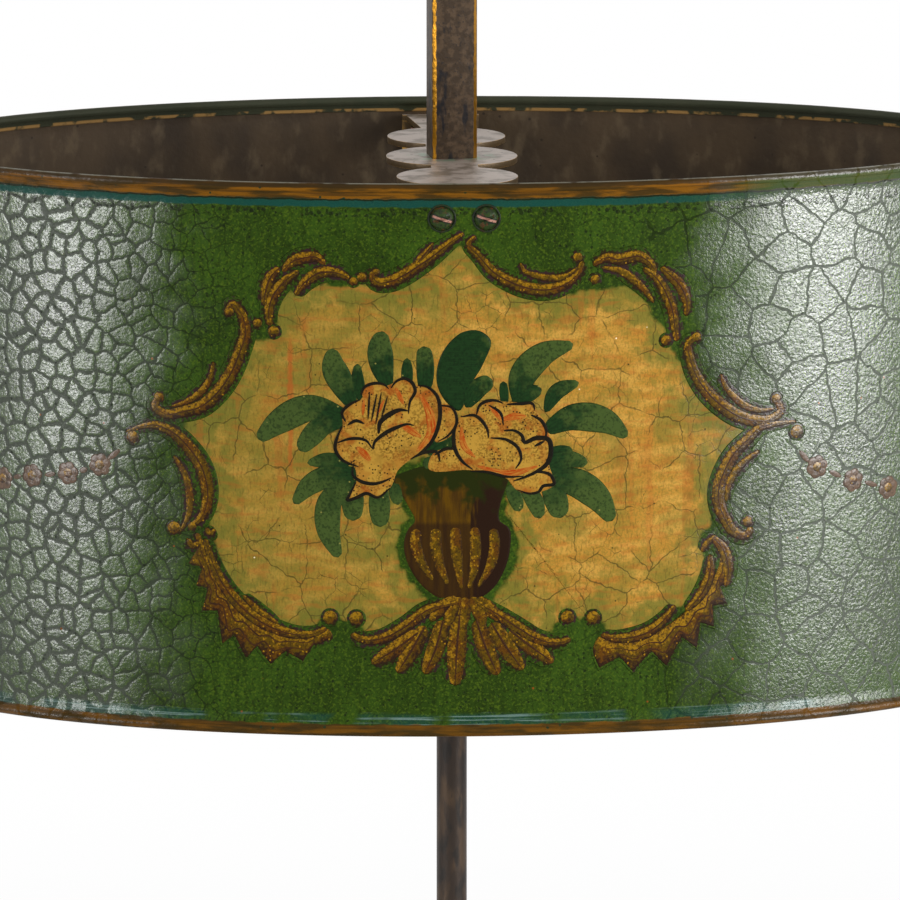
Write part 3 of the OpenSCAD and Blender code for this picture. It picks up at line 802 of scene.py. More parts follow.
@dataclass(frozen=True)
class DarkenedRod(Finish):
    """Round brass rod gone brown: fine spiral scratches from turning, tan where hands have rubbed it."""

    label: str = "browned_rod_brass"
    brown: str = "#291e15"
    tan: str = "#493725"
    black: str = "#15110d"

    def coat(self, tree: Tree) -> Coat:
        """Lays slanting mottling along the rod."""
        slant = self.place(tree).mapped((1.0, 1.0, 0.4), (0.0, 0.5, 0.4))
        colour = layered(self.brown, (slant.cloud(6.0, 0.44, 0.64, 6.0) * 0.8, self.tan),
                         (slant.cloud(3.5, 0.5, 0.66, 6.0) * 0.8, self.black))
        return Coat({"Base Color": colour, "Roughness": 0.46, "Metallic": 0.5}, slant.cloud(1.4, 0.3, 0.7, 5.0))


@dataclass(frozen=True)
class LacqueredBrass(Finish):
    """Cast and lathe-turned brass under old lacquer: warm gold with brown tarnish and fine turning lines."""

    label: str = "old_lacquered_brass"
    gold: str = "#9a7434"
    deep: str = "#5c421c"
    tarnish: str = "#2f2313"

    def coat(self, tree: Tree) -> Coat:
        """Lays tarnish blotches over gold, with turning lines 0.8 mm apart as relief, so that they just show."""
        place = self.place(tree)
        blotch = place.cloud(16.0, 0.46, 0.68, 6.0)
        colour = layered(self.gold, (blotch * 0.75, self.deep), (place.cloud(3.0, 0.6, 0.7, 4.0) * 0.6, self.tarnish))
        return Coat({"Base Color": colour, "Roughness": blotch * 0.16 + 0.26, "Metallic": 0.95},
                    place.mapped((0.02, 0.02, 1.0)).noise(0.8 * MM, 2.0), 0.012)


@dataclass(frozen=True)
class BlackIron(Finish):
    """Forged iron with an oil-black skin and a little rust."""

    label: str = "oil_black_iron"
    black: str = "#2b2a28"
    rust: str = "#5a3a22"

    def coat(self, tree: Tree) -> Coat:
        """Lays rust in small blotches over black."""
        rust = self.place(tree).cloud(4.0, 0.5, 0.66, 5.0)
        return Coat({"Base Color": layered(self.black, (rust * 0.7, self.rust)), "Roughness": 0.55, "Metallic": 0.6},
                    rust, 0.06)


# --------------------------------------------------------------------------------------
# Shapes on the wall
# --------------------------------------------------------------------------------------

LIGHT_FROM: Point = (-0.35, 0.94)
WELD = 0.002
FLAT_DEGREES = 1.0
SHARP_DEGREES = 32.0


def run_along(line: Array) -> Array:
    """Distance run along a line, at each of its points."""
    return np.concatenate([[0.0], np.cumsum(np.linalg.norm(np.diff(line, axis=0), axis=1))])


def around(count: int) -> Array:
    """Evenly spaced angles once round a circle."""
    return np.linspace(0, 2 * math.pi, count, endpoint=False)


def rounded_end(share: Array) -> Array:
    """Rises from 0 at 0 to 1 at 1 like a quarter of a circle, and stays 1 from there."""
    return np.sqrt(1 - (1 - np.clip(share, 0, 1)) ** 2)


def facing_light(direction: Array) -> Array:
    """How far directions on the wall face the light, which falls from above and a little from the left."""
    return direction[..., 0] * LIGHT_FROM[0] + direction[..., 1] * LIGHT_FROM[1]


@dataclass(frozen=True)
class OvalWall:
    """The shade's upright wall as a map: s runs round it and h runs up it, in millimetres.

    s is 0 at the middle of the front and grows towards +X.  The outer face follows the ellipse
    x = a sin t, y = -b cos t, whose arc length is summed over small steps of t.
    """

    half_length: float
    half_width: float
    steps: int = 7200

    @functools.cached_property
    def arc(self) -> tuple[Array, Array]:
        """The ellipse angle t, and the arc length from the front's middle, at each small step."""
        t = np.linspace(-math.pi, math.pi, self.steps + 1)
        chord = np.hypot(np.diff(self.half_length * np.sin(t)), np.diff(self.half_width * np.cos(t)))
        length = np.concatenate([[0.0], np.cumsum(chord)])
        return t, length - length[self.steps // 2]

    @property
    def girth(self) -> float:
        """The whole way round, in millimetres."""
        return float(2 * self.arc[1][-1])

    def place(self, s: Array, h: Array, lift: Array | float) -> Array:
        """Finds points on the wall, moved out along its normal.

        Args:
            s: Distance round the wall from the middle of the front.
            h: Height above the wall's lower edge.
            lift: Distance out from the outer face; below 0 is inside the sheet.

        Returns:
            The points in metres, with x, y and z along the last axis.
        """
        t, length = self.arc
        angle = np.interp(s, length, t)
        across, deep = np.sin(angle) / self.half_length, -np.cos(angle) / self.half_width
        long = np.hypot(across, deep)
        x = self.half_length * np.sin(angle) + lift * across / long
        y = -self.half_width * np.cos(angle) + lift * deep / long
        return np.stack(np.broadcast_arrays(x * MM, y * MM, SHADE_LOW[2] + h * MM), axis=-1)


def smooth_path(points: Sequence[Point], step: float = 0.8, fewest: int = 9) -> Array:
    """Draws a smooth line through points: each stretch is the cubic between its ends and their slopes.

    Args:
        points: The points that it goes through.
        step: Distance between the points of the result.
        fewest: The least number of points in the result.

    Returns:
        Rows of s and h, evenly spread along the line.
    """
    given = np.array(points, float)
    gap = np.linalg.norm(np.diff(given, axis=0), axis=1)
    knots = run_along(given)
    if len(given) > 2:
        slope = np.gradient(given, knots, axis=0)
    else:
        slope = np.repeat((given[1:] - given[:1]) / gap, 2, axis=0)
    at = np.linspace(0.0, knots[-1], max(fewest, int(knots[-1] / step)))
    k = np.clip(np.searchsorted(knots, at, side="right") - 1, 0, len(given) - 2)
    u = ((at - knots[k]) / gap[k])[:, None]
    start, end = given[k], given[k + 1]
    reach = gap[k][:, None]
    return (
        (2 * u**3 - 3 * u**2 + 1) * start + (u**3 - 2 * u**2 + u) * reach * slope[k]
        + (3 * u**2 - 2 * u**3) * end + (u**3 - u**2) * reach * slope[k + 1]
    )


def loop_path(points: Sequence[Point], step: float = 0.8) -> Array:
    """Draws a smooth closed line through points, by running a few points past its own start."""
    drawn = smooth_path(list(points[-3:]) + list(points) + list(points[:3]), step)
    away, half = np.linalg.norm(drawn - np.array(points[0]), axis=1), len(drawn) // 2
    return drawn[int(away[:half].argmin()) : half + int(away[half:].argmin())]


def edge_distance(points: Array, outline: Array) -> Array:
    """Finds how far each point lies from a closed outline.

    Args:
        points: Points as s and h along the last axis.
        outline: The outline's corners as rows of s and h.

    Returns:
        The shortest distance to any side, in millimetres.
    """
    side = np.roll(outline, -1, axis=0) - outline
    away = points[..., None, :] - outline
    along = np.clip((away * side).sum(-1) / (side**2).sum(-1), 0.0, 1.0)
    return np.linalg.norm(away - along[..., None] * side, axis=-1).min(-1)


@dataclass(frozen=True)
class Stroke:
    """One brush stroke: its line on the wall, its width, and its share of that width at start and end."""

    points: tuple[Point, ...]
    width: float = 3.0
    start: float = 0.35
    end: float = 0.25
    peak: float = 0.5

    def widened(self, more: float, fuller: float = 0.25) -> "Stroke":
        """The same stroke, wider by some millimetres and with fuller ends."""
        return dataclasses.replace(self, width=self.width + more, start=min(1.0, self.start + fuller),
                                   end=min(1.0, self.end + fuller))


@dataclass(frozen=True)
class Dab:
    """One round touch of the brush, by its centre and radius."""

    centre: Point
    radius: float = 1.6


class Layer(Enum):
    """Heights of the paint's layers above the tin, in millimetres, from below upwards."""

    FIELD = 0.05
    SHADOW = 0.09
    LEAF = 0.1
    PETAL = 0.13
    GILDING = 0.17
    TOUCH = 0.22
    INK = 0.26


class PaintSkin:
    """Gathers closed skins of paint into one mesh, with the attribute skin for their materials."""

    sunk: float = 0.04
    blunt: float = 0.15
    crowding: float = 1.7
    steps: Point = (0.6, 0.9)
    fine_width: float = 2.0
    ring: int = 12
    dab_ring: int = 16
    dab_shares: tuple[float, ...] = (0.0, 0.45, 0.8, 1.0, 1.0, 0.0)
    dab_dome: tuple[float, ...] = (0.14, 0.12, 0.07, 0.0)

    def __init__(self, wall: OvalWall) -> None:
        """Starts an empty skin on the given wall."""
        self.wall = wall
        self.points: list[Array] = []
        self.skins: list[Array] = []
        self.quads: list[Array] = []
        self.fans: list[Array] = []
        self.count = 0

    def lay(self, spot: Array, lift: Array, skin: Sequence[Array]) -> None:
        """Adds a closed form from rows of rings; its first and last rows each become one vertex.

        Args:
            spot: Rows of rings of s and h.
            lift: Distance out from the tin at each of them.
            skin: The attribute's three numbers for each of them.
        """
        points = self.wall.place(spot[..., 0], spot[..., 1], lift)
        rows, ring = points.shape[:2]
        for kept, rings in ((self.points, points), (self.skins, np.stack(np.broadcast_arrays(*skin), axis=-1))):
            kept.append(np.concatenate([rings[:1].mean(1), rings[1:-1].reshape(-1, 3), rings[-1:].mean(1)]))
        number = self.count + 1 + np.arange((rows - 2) * ring).reshape(rows - 2, ring)
        after = np.roll(number, -1, axis=1)
        self.quads.append(np.stack([number[:-1], after[:-1], after[1:], number[1:]], axis=-1).reshape(-1, 4))
        first, last = self.count, self.count + 1 + (rows - 2) * ring
        self.fans.append(np.stack([np.full(ring, first), after[0], number[0]], axis=-1))
        self.fans.append(np.stack([np.full(ring, last), number[-1], after[-1]], axis=-1))
        self.count = last + 1

    def stroke(self, stroke: Stroke, layer: Layer, swell: float = 0.06) -> None:
        """Adds a brush stroke: a lens-shaped bead of paint that widens and narrows along its line.

        The half width is a half sine from its start share up to the peak and down to its end share,
        rounded off at both ends like the arc of a circle.

        Args:
            stroke: The stroke.
            layer: The layer that it lies in.
            swell: How far its middle stands above its edges, in millimetres.
        """
        line = smooth_path(stroke.points, self.steps[stroke.width >= self.fine_width])
        direction = np.gradient(line, axis=0)
        direction /= np.linalg.norm(direction, axis=1, keepdims=True)
        normal = np.stack([-direction[:, 1], direction[:, 0]], axis=1)
        run = run_along(line)
        share = run / run[-1]
        rise = np.sin(np.clip(share / stroke.peak, 0, 1) * math.pi / 2)
        fall = np.sin(np.clip((1 - share) / (1 - stroke.peak), 0, 1) * math.pi / 2)
        body = np.where(share < stroke.peak, stroke.start + (1 - stroke.start) * rise,
                        stroke.end + (1 - stroke.end) * fall)
        half = stroke.width / 2 * body
        from_start, from_end = run / max(half[0], self.blunt), (run[-1] - run) / max(half[-1], self.blunt)
        half *= rounded_end(np.minimum(from_start, from_end))
        across, over = np.cos(around(self.ring)), np.sin(around(self.ring))
        spot = line[:, None] + (normal * half[:, None])[:, None] * across[:, None]
        lift = np.where(over >= 0, layer.value + swell * over, -self.sunk)
        lift = np.where(np.abs(over) < 1e-6, layer.value * 0.6, lift)
        self.lay(spot, lift, (run[:, None], across, facing_light(normal)[:, None] * across))

    def disc(self, outline: Array, layer: Layer, rings: int = 5, dome: float = 0.05,
             shadows: Sequence[Array] = ()) -> None:
        """Adds a patch of paint inside a closed outline, as rings drawn in towards its middle.

        Args:
            outline: Rows of s and h, all in sight of their mean.
            layer: The layer that it lies in.
            rings: Number of rings on its face; they crowd towards the edge.
            dome: How far its middle stands above its edge, in millimetres.
            shadows: Outlines on the patch whose distance counts as the edge's too.
        """
        middle = outline.mean(0)
        share = 1 - (1 - np.linspace(0, 1, rings + 1)[:, None, None]) ** self.crowding
        face = middle + (outline - middle) * share
        edge = np.min([edge_distance(face, line) for line in (outline, *shadows)], axis=0)
        back = middle + (outline - middle) * np.array([1.0, 0.5, 0.0])[:, None, None]
        spot = np.concatenate([face, back])
        domed = layer.value + dome * np.sqrt(np.clip(1 - share[..., 0] ** 2, 0, 1))
        lift = np.concatenate([domed, np.full((len(back), 1), -self.sunk)])
        self.lay(spot, lift, (spot[..., 0], spot[..., 1], np.concatenate([edge, np.zeros(back.shape[:2])])))

    def band(self, inner: Array, outer: Array, layer: Layer, swell: float = 0.05) -> None:
        """Adds a patch of paint between two lines: each row runs straight from the one to the other.

        Args:
            inner: Rows of s and h along the inner line.
            outer: As many rows along the outer line.
            layer: The layer that it lies in.
            swell: How far its middle stands above its edges, in millimetres.
        """
        across, over = np.cos(around(self.ring)), np.sin(around(self.ring))
        row = np.arange(len(inner))
        taper = rounded_end(np.minimum(row, row[::-1]) / 3)
        middle, reach = (inner + outer) / 2, (outer - inner) / 2 * taper[:, None]
        spot = middle[:, None] + reach[:, None] * across[:, None]
        lift = np.where(over >= 0, layer.value + swell * over, -self.sunk)
        lit = facing_light(reach) / np.maximum(np.linalg.norm(reach, axis=1), 1e-6)
        self.lay(spot, lift, (run_along(outer)[:, None], across, lit[:, None] * across))

    def dab(self, dab: Dab, layer: Layer) -> None:
        """Adds a round touch of paint, lit on its upper left as the strokes are."""
        turn = around(self.dab_ring)
        circle = np.stack([np.cos(turn), np.sin(turn)], axis=1)
        share = np.array(self.dab_shares)[:, None]
        spot = np.array(dab.centre) + dab.radius * share[..., None] * circle
        lift = np.array([*(layer.value + rise for rise in self.dab_dome), -self.sunk, -self.sunk])[:, None]
        self.lay(spot, lift, (spot[..., 0], 0.8 * share, share * facing_light(circle) + 0.1))

    def build(self, name: str, finish: Finish) -> None:
        """Makes the piece: one mesh of all skins, facing outwards, that rides with the shade.

        Args:
            name: The piece's name.
            finish: Its finish.
        """
        faces = [np.concatenate(self.quads), np.concatenate(self.fans)]
        made = mesh_object(name, np.concatenate(self.points), faces, finish.material())
        keep_skin(made, "POINT", np.concatenate(self.skins))
        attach(made, "shade")


def linked(name: str, data: bpy.types.ID) -> bpy.types.Object:
    """Makes an object of a mesh, lamp or camera and links it to the scene."""
    made = bpy.data.objects.new(name, data)
    bpy.context.scene.collection.objects.link(made)
    return made


def keep_skin(made: bpy.types.Object, domain: str, numbers: Array) -> None:
    """Stores the attribute skin, with three numbers for each point or corner."""
    skin = made.data.attributes.new("skin", "FLOAT_VECTOR", domain)
    skin.data.foreach_set("vector", numbers.astype(np.float32).ravel())


def turn_outwards(mesh: bpy.types.Mesh, merged: bool = False) -> None:
    """Turns a mesh's faces outwards and smooths them; merged joins those that lie in one plane first."""
    work = bmesh.new()
    work.from_mesh(mesh)
    if merged:
        bmesh.ops.remove_doubles(work, verts=work.verts, dist=WELD * MM)
        flat = math.radians(FLAT_DEGREES)
        bmesh.ops.dissolve_limit(work, angle_limit=flat, verts=work.verts, edges=work.edges)
    bmesh.ops.recalc_face_normals(work, faces=work.faces)
    work.to_mesh(mesh)
    work.free()
    mesh.shade_smooth()


def closed_grid(columns: int, rows: int, first: int = 0) -> Array:
    """Faces of a grid of points that closes on itself both ways, as rows of four vertex numbers."""
    number = first + np.arange(columns * rows).reshape(columns, rows)
    nearby = np.roll(number, -1, axis=0)
    quads = np.stack([number, nearby, np.roll(nearby, -1, axis=1), np.roll(number, -1, axis=1)], axis=-1)
    return quads.reshape(-1, 4)


def mesh_object(name: str, points: Array, faces: Sequence[Array], *looks: bpy.types.Material) -> bpy.types.Object:
    """Makes a smooth mesh object from whole arrays, with its faces turned outwards.

    Args:
        name: The object's name.
        points: Its vertices, in metres.
        faces: Arrays of faces, each with a face's vertex numbers in a row.
        looks: Its materials.

    Returns:
        The object, linked to the scene, at the origin.
    """
    mesh = bpy.data.meshes.new(name)
    mesh.vertices.add(len(points))
    mesh.vertices.foreach_set("co", points.astype(np.float32).ravel())
    corners = np.concatenate([part.ravel() for part in faces])
    mesh.loops.add(len(corners))
    mesh.loops.foreach_set("vertex_index", corners.astype(np.int32))
    sides = np.concatenate([np.full(len(part), part.shape[1]) for part in faces])
    mesh.polygons.add(len(sides))
    mesh.polygons.foreach_set("loop_start", (np.cumsum(sides) - sides).astype(np.int32))
    mesh.update(calc_edges=True)
    turn_outwards(mesh)
    for look in looks:
        mesh.materials.append(look)
    LOG.info("%s: %d faces", name, len(mesh.polygons))
    return linked(name, mesh)


def eased_copy(node: str, ease: float, finish: Finish, body: str) -> None:
    """Copies a CAD node's mesh with its sharp edges rounded off, and lets the copy stand for it.

    Args:
        node: The CAD node.
        ease: Width of the rounding, in millimetres.
        finish: The copy's finish.
        body: The body that it rides on.
    """
    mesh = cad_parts[node].data.copy()
    turn_outwards(mesh, merged=True)
    mesh.materials.clear()
    mesh.materials.append(finish.material())
    rounded = linked(f"{node}_eased", mesh)
    bevel = rounded.modifiers.new("ease", "BEVEL")
    bevel.width, bevel.segments, bevel.limit_method = ease * MM, 3, "ANGLE"
    bevel.angle_limit = math.radians(SHARP_DEGREES)
    bevel.harden_normals = bevel.use_clamp_overlap = True
    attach(rounded, body)
    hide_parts(node)
    LOG.info("%s: %d faces before its edges are eased", rounded.name, len(mesh.polygons))


# --------------------------------------------------------------------------------------
# The shade
# --------------------------------------------------------------------------------------


@dataclass(frozen=True)
class JapannedWall:
    """The wall of the shade with its two rolled rims, as one closed section swept round the oval."""

    wall: OvalWall
    sheet: float = 0.5
    bead: float = 1.6
    bead_in: float = 0.52
    columns: int = 704
    face_rows: int = 38
    bead_rows: int = 19
    lining_rows: int = 12
    hem_ease: float = 0.3
    lining_gap: float = 3.0

    def section(self) -> tuple[Array, int]:
        """Works out the closed section as rows of lift and height, and the number of rows on the outer side.

        It runs up the outer face, round the upper bead, down the folded hem and the inner face,
        and back round the lower bead.
        """
        turn = math.degrees(math.acos(self.bead_in / self.bead))
        reach = math.sqrt(self.bead**2 - self.bead_in**2)
        over = np.radians(np.linspace(-turn, 180 + turn, self.bead_rows))
        low, top = self.bead, SHADE_HEIGHT - self.bead
        fold, edge = -2 * self.bead_in, SHADE_HEIGHT - HEM_DEPTH
        face = np.linspace(low + reach, top - reach, self.face_rows)[1:-1]
        lining = np.linspace(edge - self.lining_gap, HEM_DEPTH + self.lining_gap, self.lining_rows)
        outer = np.stack([np.zeros_like(face), face], axis=1)
        upper = np.stack([-self.bead_in + self.bead * np.cos(over), top + self.bead * np.sin(over)], axis=1)
        under = np.stack([-self.bead_in - self.bead * np.cos(over), low - self.bead * np.sin(over)], axis=1)
        hem = np.array([[fold, edge + self.hem_ease], [fold + 0.08, edge], [-self.sheet - 0.1, edge],
                        [-self.sheet, edge - self.hem_ease]])
        inner = np.stack([np.full_like(lining, -self.sheet), lining], axis=1)
        mirrored = np.stack([hem[::-1, 0], SHADE_HEIGHT - hem[::-1, 1]], axis=1)
        return np.concatenate([outer, upper, hem, inner, mirrored, under]), len(outer) + len(upper)

    def build(self) -> None:
        """Sweeps the section, gives its two sides their paints and lets it stand for the CAD wall."""
        rows, outer = self.section()
        girth, half_bead = self.wall.girth, self.bead_rows // 2
        s = np.linspace(0, girth, self.columns, endpoint=False)
        s = (s + girth / 2) % girth - girth / 2
        grid_s, lift = np.meshgrid(s, rows[:, 0], indexing="ij")
        grid_h = np.broadcast_to(rows[:, 1], grid_s.shape)
        points = self.wall.place(grid_s, grid_h, lift).reshape(-1, 3)
        made = mesh_object("japanned_oval_wall", points, [closed_grid(*grid_s.shape)], JapannedGround().material(),
                           UmberLining().material())
        side = np.zeros(grid_s.shape, np.int32)
        side[:, outer - half_bead : len(rows) - half_bead] = 1
        made.data.polygons.foreach_set("material_index", side.ravel())
        corner = np.empty(4 * side.size, np.int32)
        made.data.loops.foreach_get("vertex_index", corner)
        way = grid_s.ravel()[corner].reshape(-1, 4)
        way = np.where(way < way.max(1, keepdims=True) - girth / 2, way + girth, way).ravel()
        keep_skin(made, "CORNER", np.stack([way, grid_h.ravel()[corner], np.zeros_like(way)], axis=1))
        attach(made, "shade")
        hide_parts("shade_wall")


@dataclass(frozen=True)
class Urn:
    """The painted urn: a flared neck and a fluted bowl; the acanthus cup that it stands in is laid with the scrolls."""

    wall: OvalWall
    outline: tuple[Point, ...] = (
        (-23.5, 88), (-21, 83), (-18.5, 78.5), (-16.5, 73.5), (-18.6, 71), (-20, 67), (-19.6, 61.5), (-17.5, 56.5),
        (-13.3, 51), (-8, 47.4), (-1, 46.6), (5, 47.3), (10, 51), (13.5, 57), (15.4, 64.5), (15, 71), (11.8, 73.8),
        (12, 79), (13.6, 84), (15, 89), (6, 92), (-8, 93), (-18, 91))
    flutes: tuple[Stroke, ...] = (
        Stroke(((-15.8, 71.2), (-16.2, 66), (-14.4, 60), (-10.4, 53.5)), 4.0, 0.8, 0.3, 0.3),
        Stroke(((-9.4, 71.4), (-9.4, 65), (-8.2, 59), (-5.4, 52)), 4.2, 0.8, 0.3, 0.3),
        Stroke(((-3, 71.8), (-2.7, 65), (-2, 58), (-0.8, 50.5)), 4.2, 0.8, 0.3, 0.3),
        Stroke(((3.4, 71.8), (3.8, 65), (3.4, 58), (1.6, 50.5)), 4.0, 0.8, 0.3, 0.3),
        Stroke(((9.7, 71.2), (10.2, 65), (8.8, 58.5), (4.6, 51)), 3.8, 0.8, 0.3, 0.3))

    def build(self) -> None:
        """Lays the urn's brown form, and its gold flutes over that."""
        body, flutes = PaintSkin(self.wall), PaintSkin(self.wall)
        body.disc(loop_path(self.outline), Layer.SHADOW, 7)
        for line in self.flutes:
            flutes.stroke(line, Layer.GILDING)
        body.build("painted_urn", UrnPaint())
        flutes.build("urn_gold_flutes", ShellGold())


@dataclass(frozen=True)
class CreamPanel:
    """The cream field inside the scrolls."""

    wall: OvalWall
    urn: tuple[Point, ...]
    outline: tuple[Point, ...] = (
        (0, 169), (5, 163), (10, 157.5), (15, 154.5), (20, 152.5), (25, 151.5), (30, 151.8), (38, 153), (44, 154),
        (50, 154), (57, 154), (61, 150), (65, 144), (69, 138), (71, 132.6), (76, 126), (79.2, 119.7), (83, 114.4),
        (88, 109.8), (94, 106), (100, 103), (97, 98), (92, 93.3), (88.4, 87), (86.8, 82), (87, 76.5), (86, 70),
        (83, 64), (84, 55), (82.4, 49), (79, 44), (75.2, 40.7), (68, 38.3), (62.5, 34.2), (56, 31.9), (50, 31.9),
        (46, 34), (43.4, 39), (39, 37), (34.5, 39), (31, 33), (24.8, 33), (17.7, 37.3), (10, 42.5), (3.4, 46.6),
        (-2, 46), (-12, 43.5), (-20, 37.5), (-28, 33.5), (-34, 34), (-36, 38), (-40, 37), (-44.8, 39), (-50, 35),
        (-56, 34.5), (-64, 36.5), (-71, 40.3), (-76.5, 45), (-81.5, 51.5), (-85, 59), (-86.5, 66), (-88, 74),
        (-86.3, 80), (-86.5, 84.4), (-88.3, 90.5), (-92.5, 96.7), (-96, 101), (-96, 105), (-94.7, 109), (-88.5, 111),
        (-82.7, 116), (-78.3, 122.3), (-75, 130), (-72, 135), (-66, 137), (-65.2, 143), (-63.8, 149), (-60, 153),
        (-53, 154), (-48, 157), (-41, 155), (-34, 155.5), (-29, 154.5), (-25, 154.5), (-20, 156.8), (-15, 160),
        (-10, 163.5), (-5, 167.5))

    def build(self) -> None:
        """Lays the field as one patch; the glaze of its material follows the edge and the urn."""
        skin = PaintSkin(self.wall)
        skin.disc(loop_path(self.outline, 1.2), Layer.FIELD, 44, 0.01, [loop_path(self.urn, 2.5)])
        skin.build("cream_field", CreamField())


@dataclass(frozen=True)
class GiltScrolls:
    """Scrolls of gold size: broad strands, slimmer inner strands beside them, beads, and pointed leaf teeth."""

    wall: OvalWall
    strands: tuple[Stroke, ...] = (
        Stroke(((0, 171), (-5, 167.5), (-10, 163.5), (-15, 160), (-20, 156.8), (-25, 154.5), (-29, 154.5),
                (-30.5, 156.5), (-28, 158.5)), 4.2, 0.3, 0.5, 0.6),
        Stroke(((-10, 167.8), (-13, 164), (-16, 160.5)), 2.6, 0.2, 0.7, 0.7),
        Stroke(((4, 170), (1.5, 167.5), (5, 163), (10, 157.5), (15, 154.5), (20, 152.5), (25, 151.5), (30, 151.8),
                (35, 154), (38.5, 157.5), (39.5, 161)), 4.2, 0.3, 0.4, 0.6),
        Stroke(((-38, 155.5), (-41, 157), (-48, 157.3), (-53, 154), (-56.3, 149.5)), 4.0, 0.4, 0.4),
        Stroke(((-46, 160), (-49, 162.5), (-53, 162.3), (-57, 161), (-60.5, 157.5)), 4.2, 0.3, 0.4),
        Stroke(((-61.5, 159), (-64.5, 155.5), (-66, 151.5), (-66.8, 146)), 4.0, 0.4, 0.3),
        Stroke(((-55, 158), (-60, 154), (-63.8, 149), (-65.2, 143), (-64.5, 139)), 3.8, 0.4, 0.5),
        Stroke(((-79.3, 143.2), (-77.5, 146), (-74, 142), (-73, 137), (-75, 130), (-78.3, 122.3), (-82.7, 116),
                (-88.5, 111), (-94.7, 109), (-101, 108), (-104.5, 110.5), (-103, 113.7)), 4.6, 0.5, 0.5, 0.55),
        Stroke(((-115, 101), (-110, 103), (-105, 104), (-98.5, 102), (-92.5, 96.7), (-88.3, 90.5), (-86.5, 84.4),
                (-86.3, 80), (-88, 74), (-92, 70)), 4.8, 0.15, 0.4, 0.6),
        Stroke(((-87.4, 66.3), (-85, 59), (-81.5, 51.5), (-76.5, 45), (-71, 40.3), (-64, 36.5), (-56, 34.5),
                (-50, 35), (-46, 37)), 4.4, 0.4, 0.4),
        Stroke(((43, 159.3), (47.5, 161.8), (52, 161), (55, 161.5), (58, 162), (62, 160),
                (64.6, 156.2)), 4.2, 0.4, 0.4),
        Stroke(((66, 158), (69.5, 155), (72.5, 152), (75.3, 145), (75, 141)), 4.0, 0.4, 0.3),
        Stroke(((60, 158), (65, 154), (68, 149), (70, 144), (71, 138), (71.8, 132.6)), 3.8, 0.4, 0.5),
        Stroke(((78.4, 134), (76, 132), (76.6, 126), (79.2, 119.7), (83, 114.4), (88, 109.8), (94, 106),
                (100, 104.2), (106, 104.5), (109, 107), (107.3, 111.2)), 4.6, 0.5, 0.5, 0.55),
        Stroke(((115, 103), (108, 102.7), (102, 102), (97, 98), (92, 93.3), (88.4, 87), (86.8, 82), (87, 76.5),
                (89.3, 71), (92, 67), (96.5, 65.3), (99, 68)), 4.8, 0.15, 0.5, 0.55),
        Stroke(((84, 66), (88.3, 61.4), (90.3, 53.5), (89.5, 48)), 4.2, 0.4, 0.3),
        Stroke(((83.8, 59.7), (84, 55), (82.4, 49), (79, 44), (75.2, 40.7)), 4.0, 0.4, 0.4),
        Stroke(((71.7, 43), (68, 38.3), (62.5, 34.2), (56, 32.5), (50, 32.5), (46, 34)), 4.0, 0.4, 0.4),
        Stroke(((-2, 46), (-12, 43.5), (-20, 37.5), (-28, 33.5), (-34, 33.2), (-38, 35)), 4.0, 0.4, 0.5),
        Stroke(((3.4, 46.6), (10, 42.5), (17.7, 37.3), (24.8, 33), (31, 31.6), (36, 32.7)), 4.0, 0.4, 0.5))
    inner: tuple[Stroke, ...] = (
        Stroke(((18.5, 160.8), (20, 158), (25, 156), (30, 155.3), (35, 156.5), (38, 159)), 2.5),
        Stroke(((-84, 126.5), (-85, 121.2), (-88.5, 115.8), (-94.4, 112), (-99, 110.5)), 2.6),
        Stroke(((-98, 94), (-94, 87.5), (-92.5, 81), (-93.3, 73), (-96, 68)), 2.8),
        Stroke(((-74.5, 47.5), (-69, 42.3), (-62, 38)), 2.5),
        Stroke(((46, 158.5), (52, 157.3), (57, 154), (61, 150), (63.8, 146)), 2.8),
        Stroke(((87.2, 121), (89, 116.5), (92, 112.8), (97, 109), (103, 107.5), (107, 108)), 2.6),
        Stroke(((101.4, 94), (96.6, 91), (92.6, 87.2), (90, 82), (89.5, 77)), 2.8),
        Stroke(((-87, 70), (-85.5, 68), (-83.5, 69.5)), 2.0, 0.6, 0.6),
        Stroke(((-93.5, 66), (-91.5, 63.5), (-89, 65)), 2.2, 0.6, 0.6),
        Stroke(((86, 66), (82.4, 63.2), (80.8, 60.5)), 2.2, 0.6, 0.6))
    left_spine: tuple[Point, ...] = (
        (-89, 68), (-86.5, 62), (-83, 54.5), (-79.5, 48.5), (-74, 42.5), (-67.5, 38), (-60, 35.4), (-53, 34.6),
                (-45, 37))
    left_serrated: tuple[Point, ...] = (
        (-91, 68), (-89.5, 63), (-93.2, 57.4), (-88.2, 56.5), (-90.4, 50), (-86.4, 49.6), (-88.3, 41.6), (-83, 41.8),
        (-81.5, 30.5), (-77.3, 34), (-73.4, 26), (-69.5, 30.2), (-65, 24.2), (-60, 28.8), (-54, 25.6), (-50.5, 31),
        (-43.5, 33.5))
    right_spine: tuple[Point, ...] = (
        (87, 63), (87.2, 57), (84.6, 50.5), (80, 44.5), (74, 39.6), (67.5, 35.4), (61, 32.4), (54, 31), (45, 33.5))
    right_serrated: tuple[Point, ...] = (
        (90, 62), (89, 56.5), (91.8, 49.6), (87.4, 48.6), (89.8, 42.6), (84.9, 42), (85.3, 34.8), (80.5, 36.5),
        (79.3, 27.8), (74, 32), (68.6, 22.3), (63.5, 27.6), (57, 21), (52.5, 26.2), (45.5, 22.6), (43, 29))
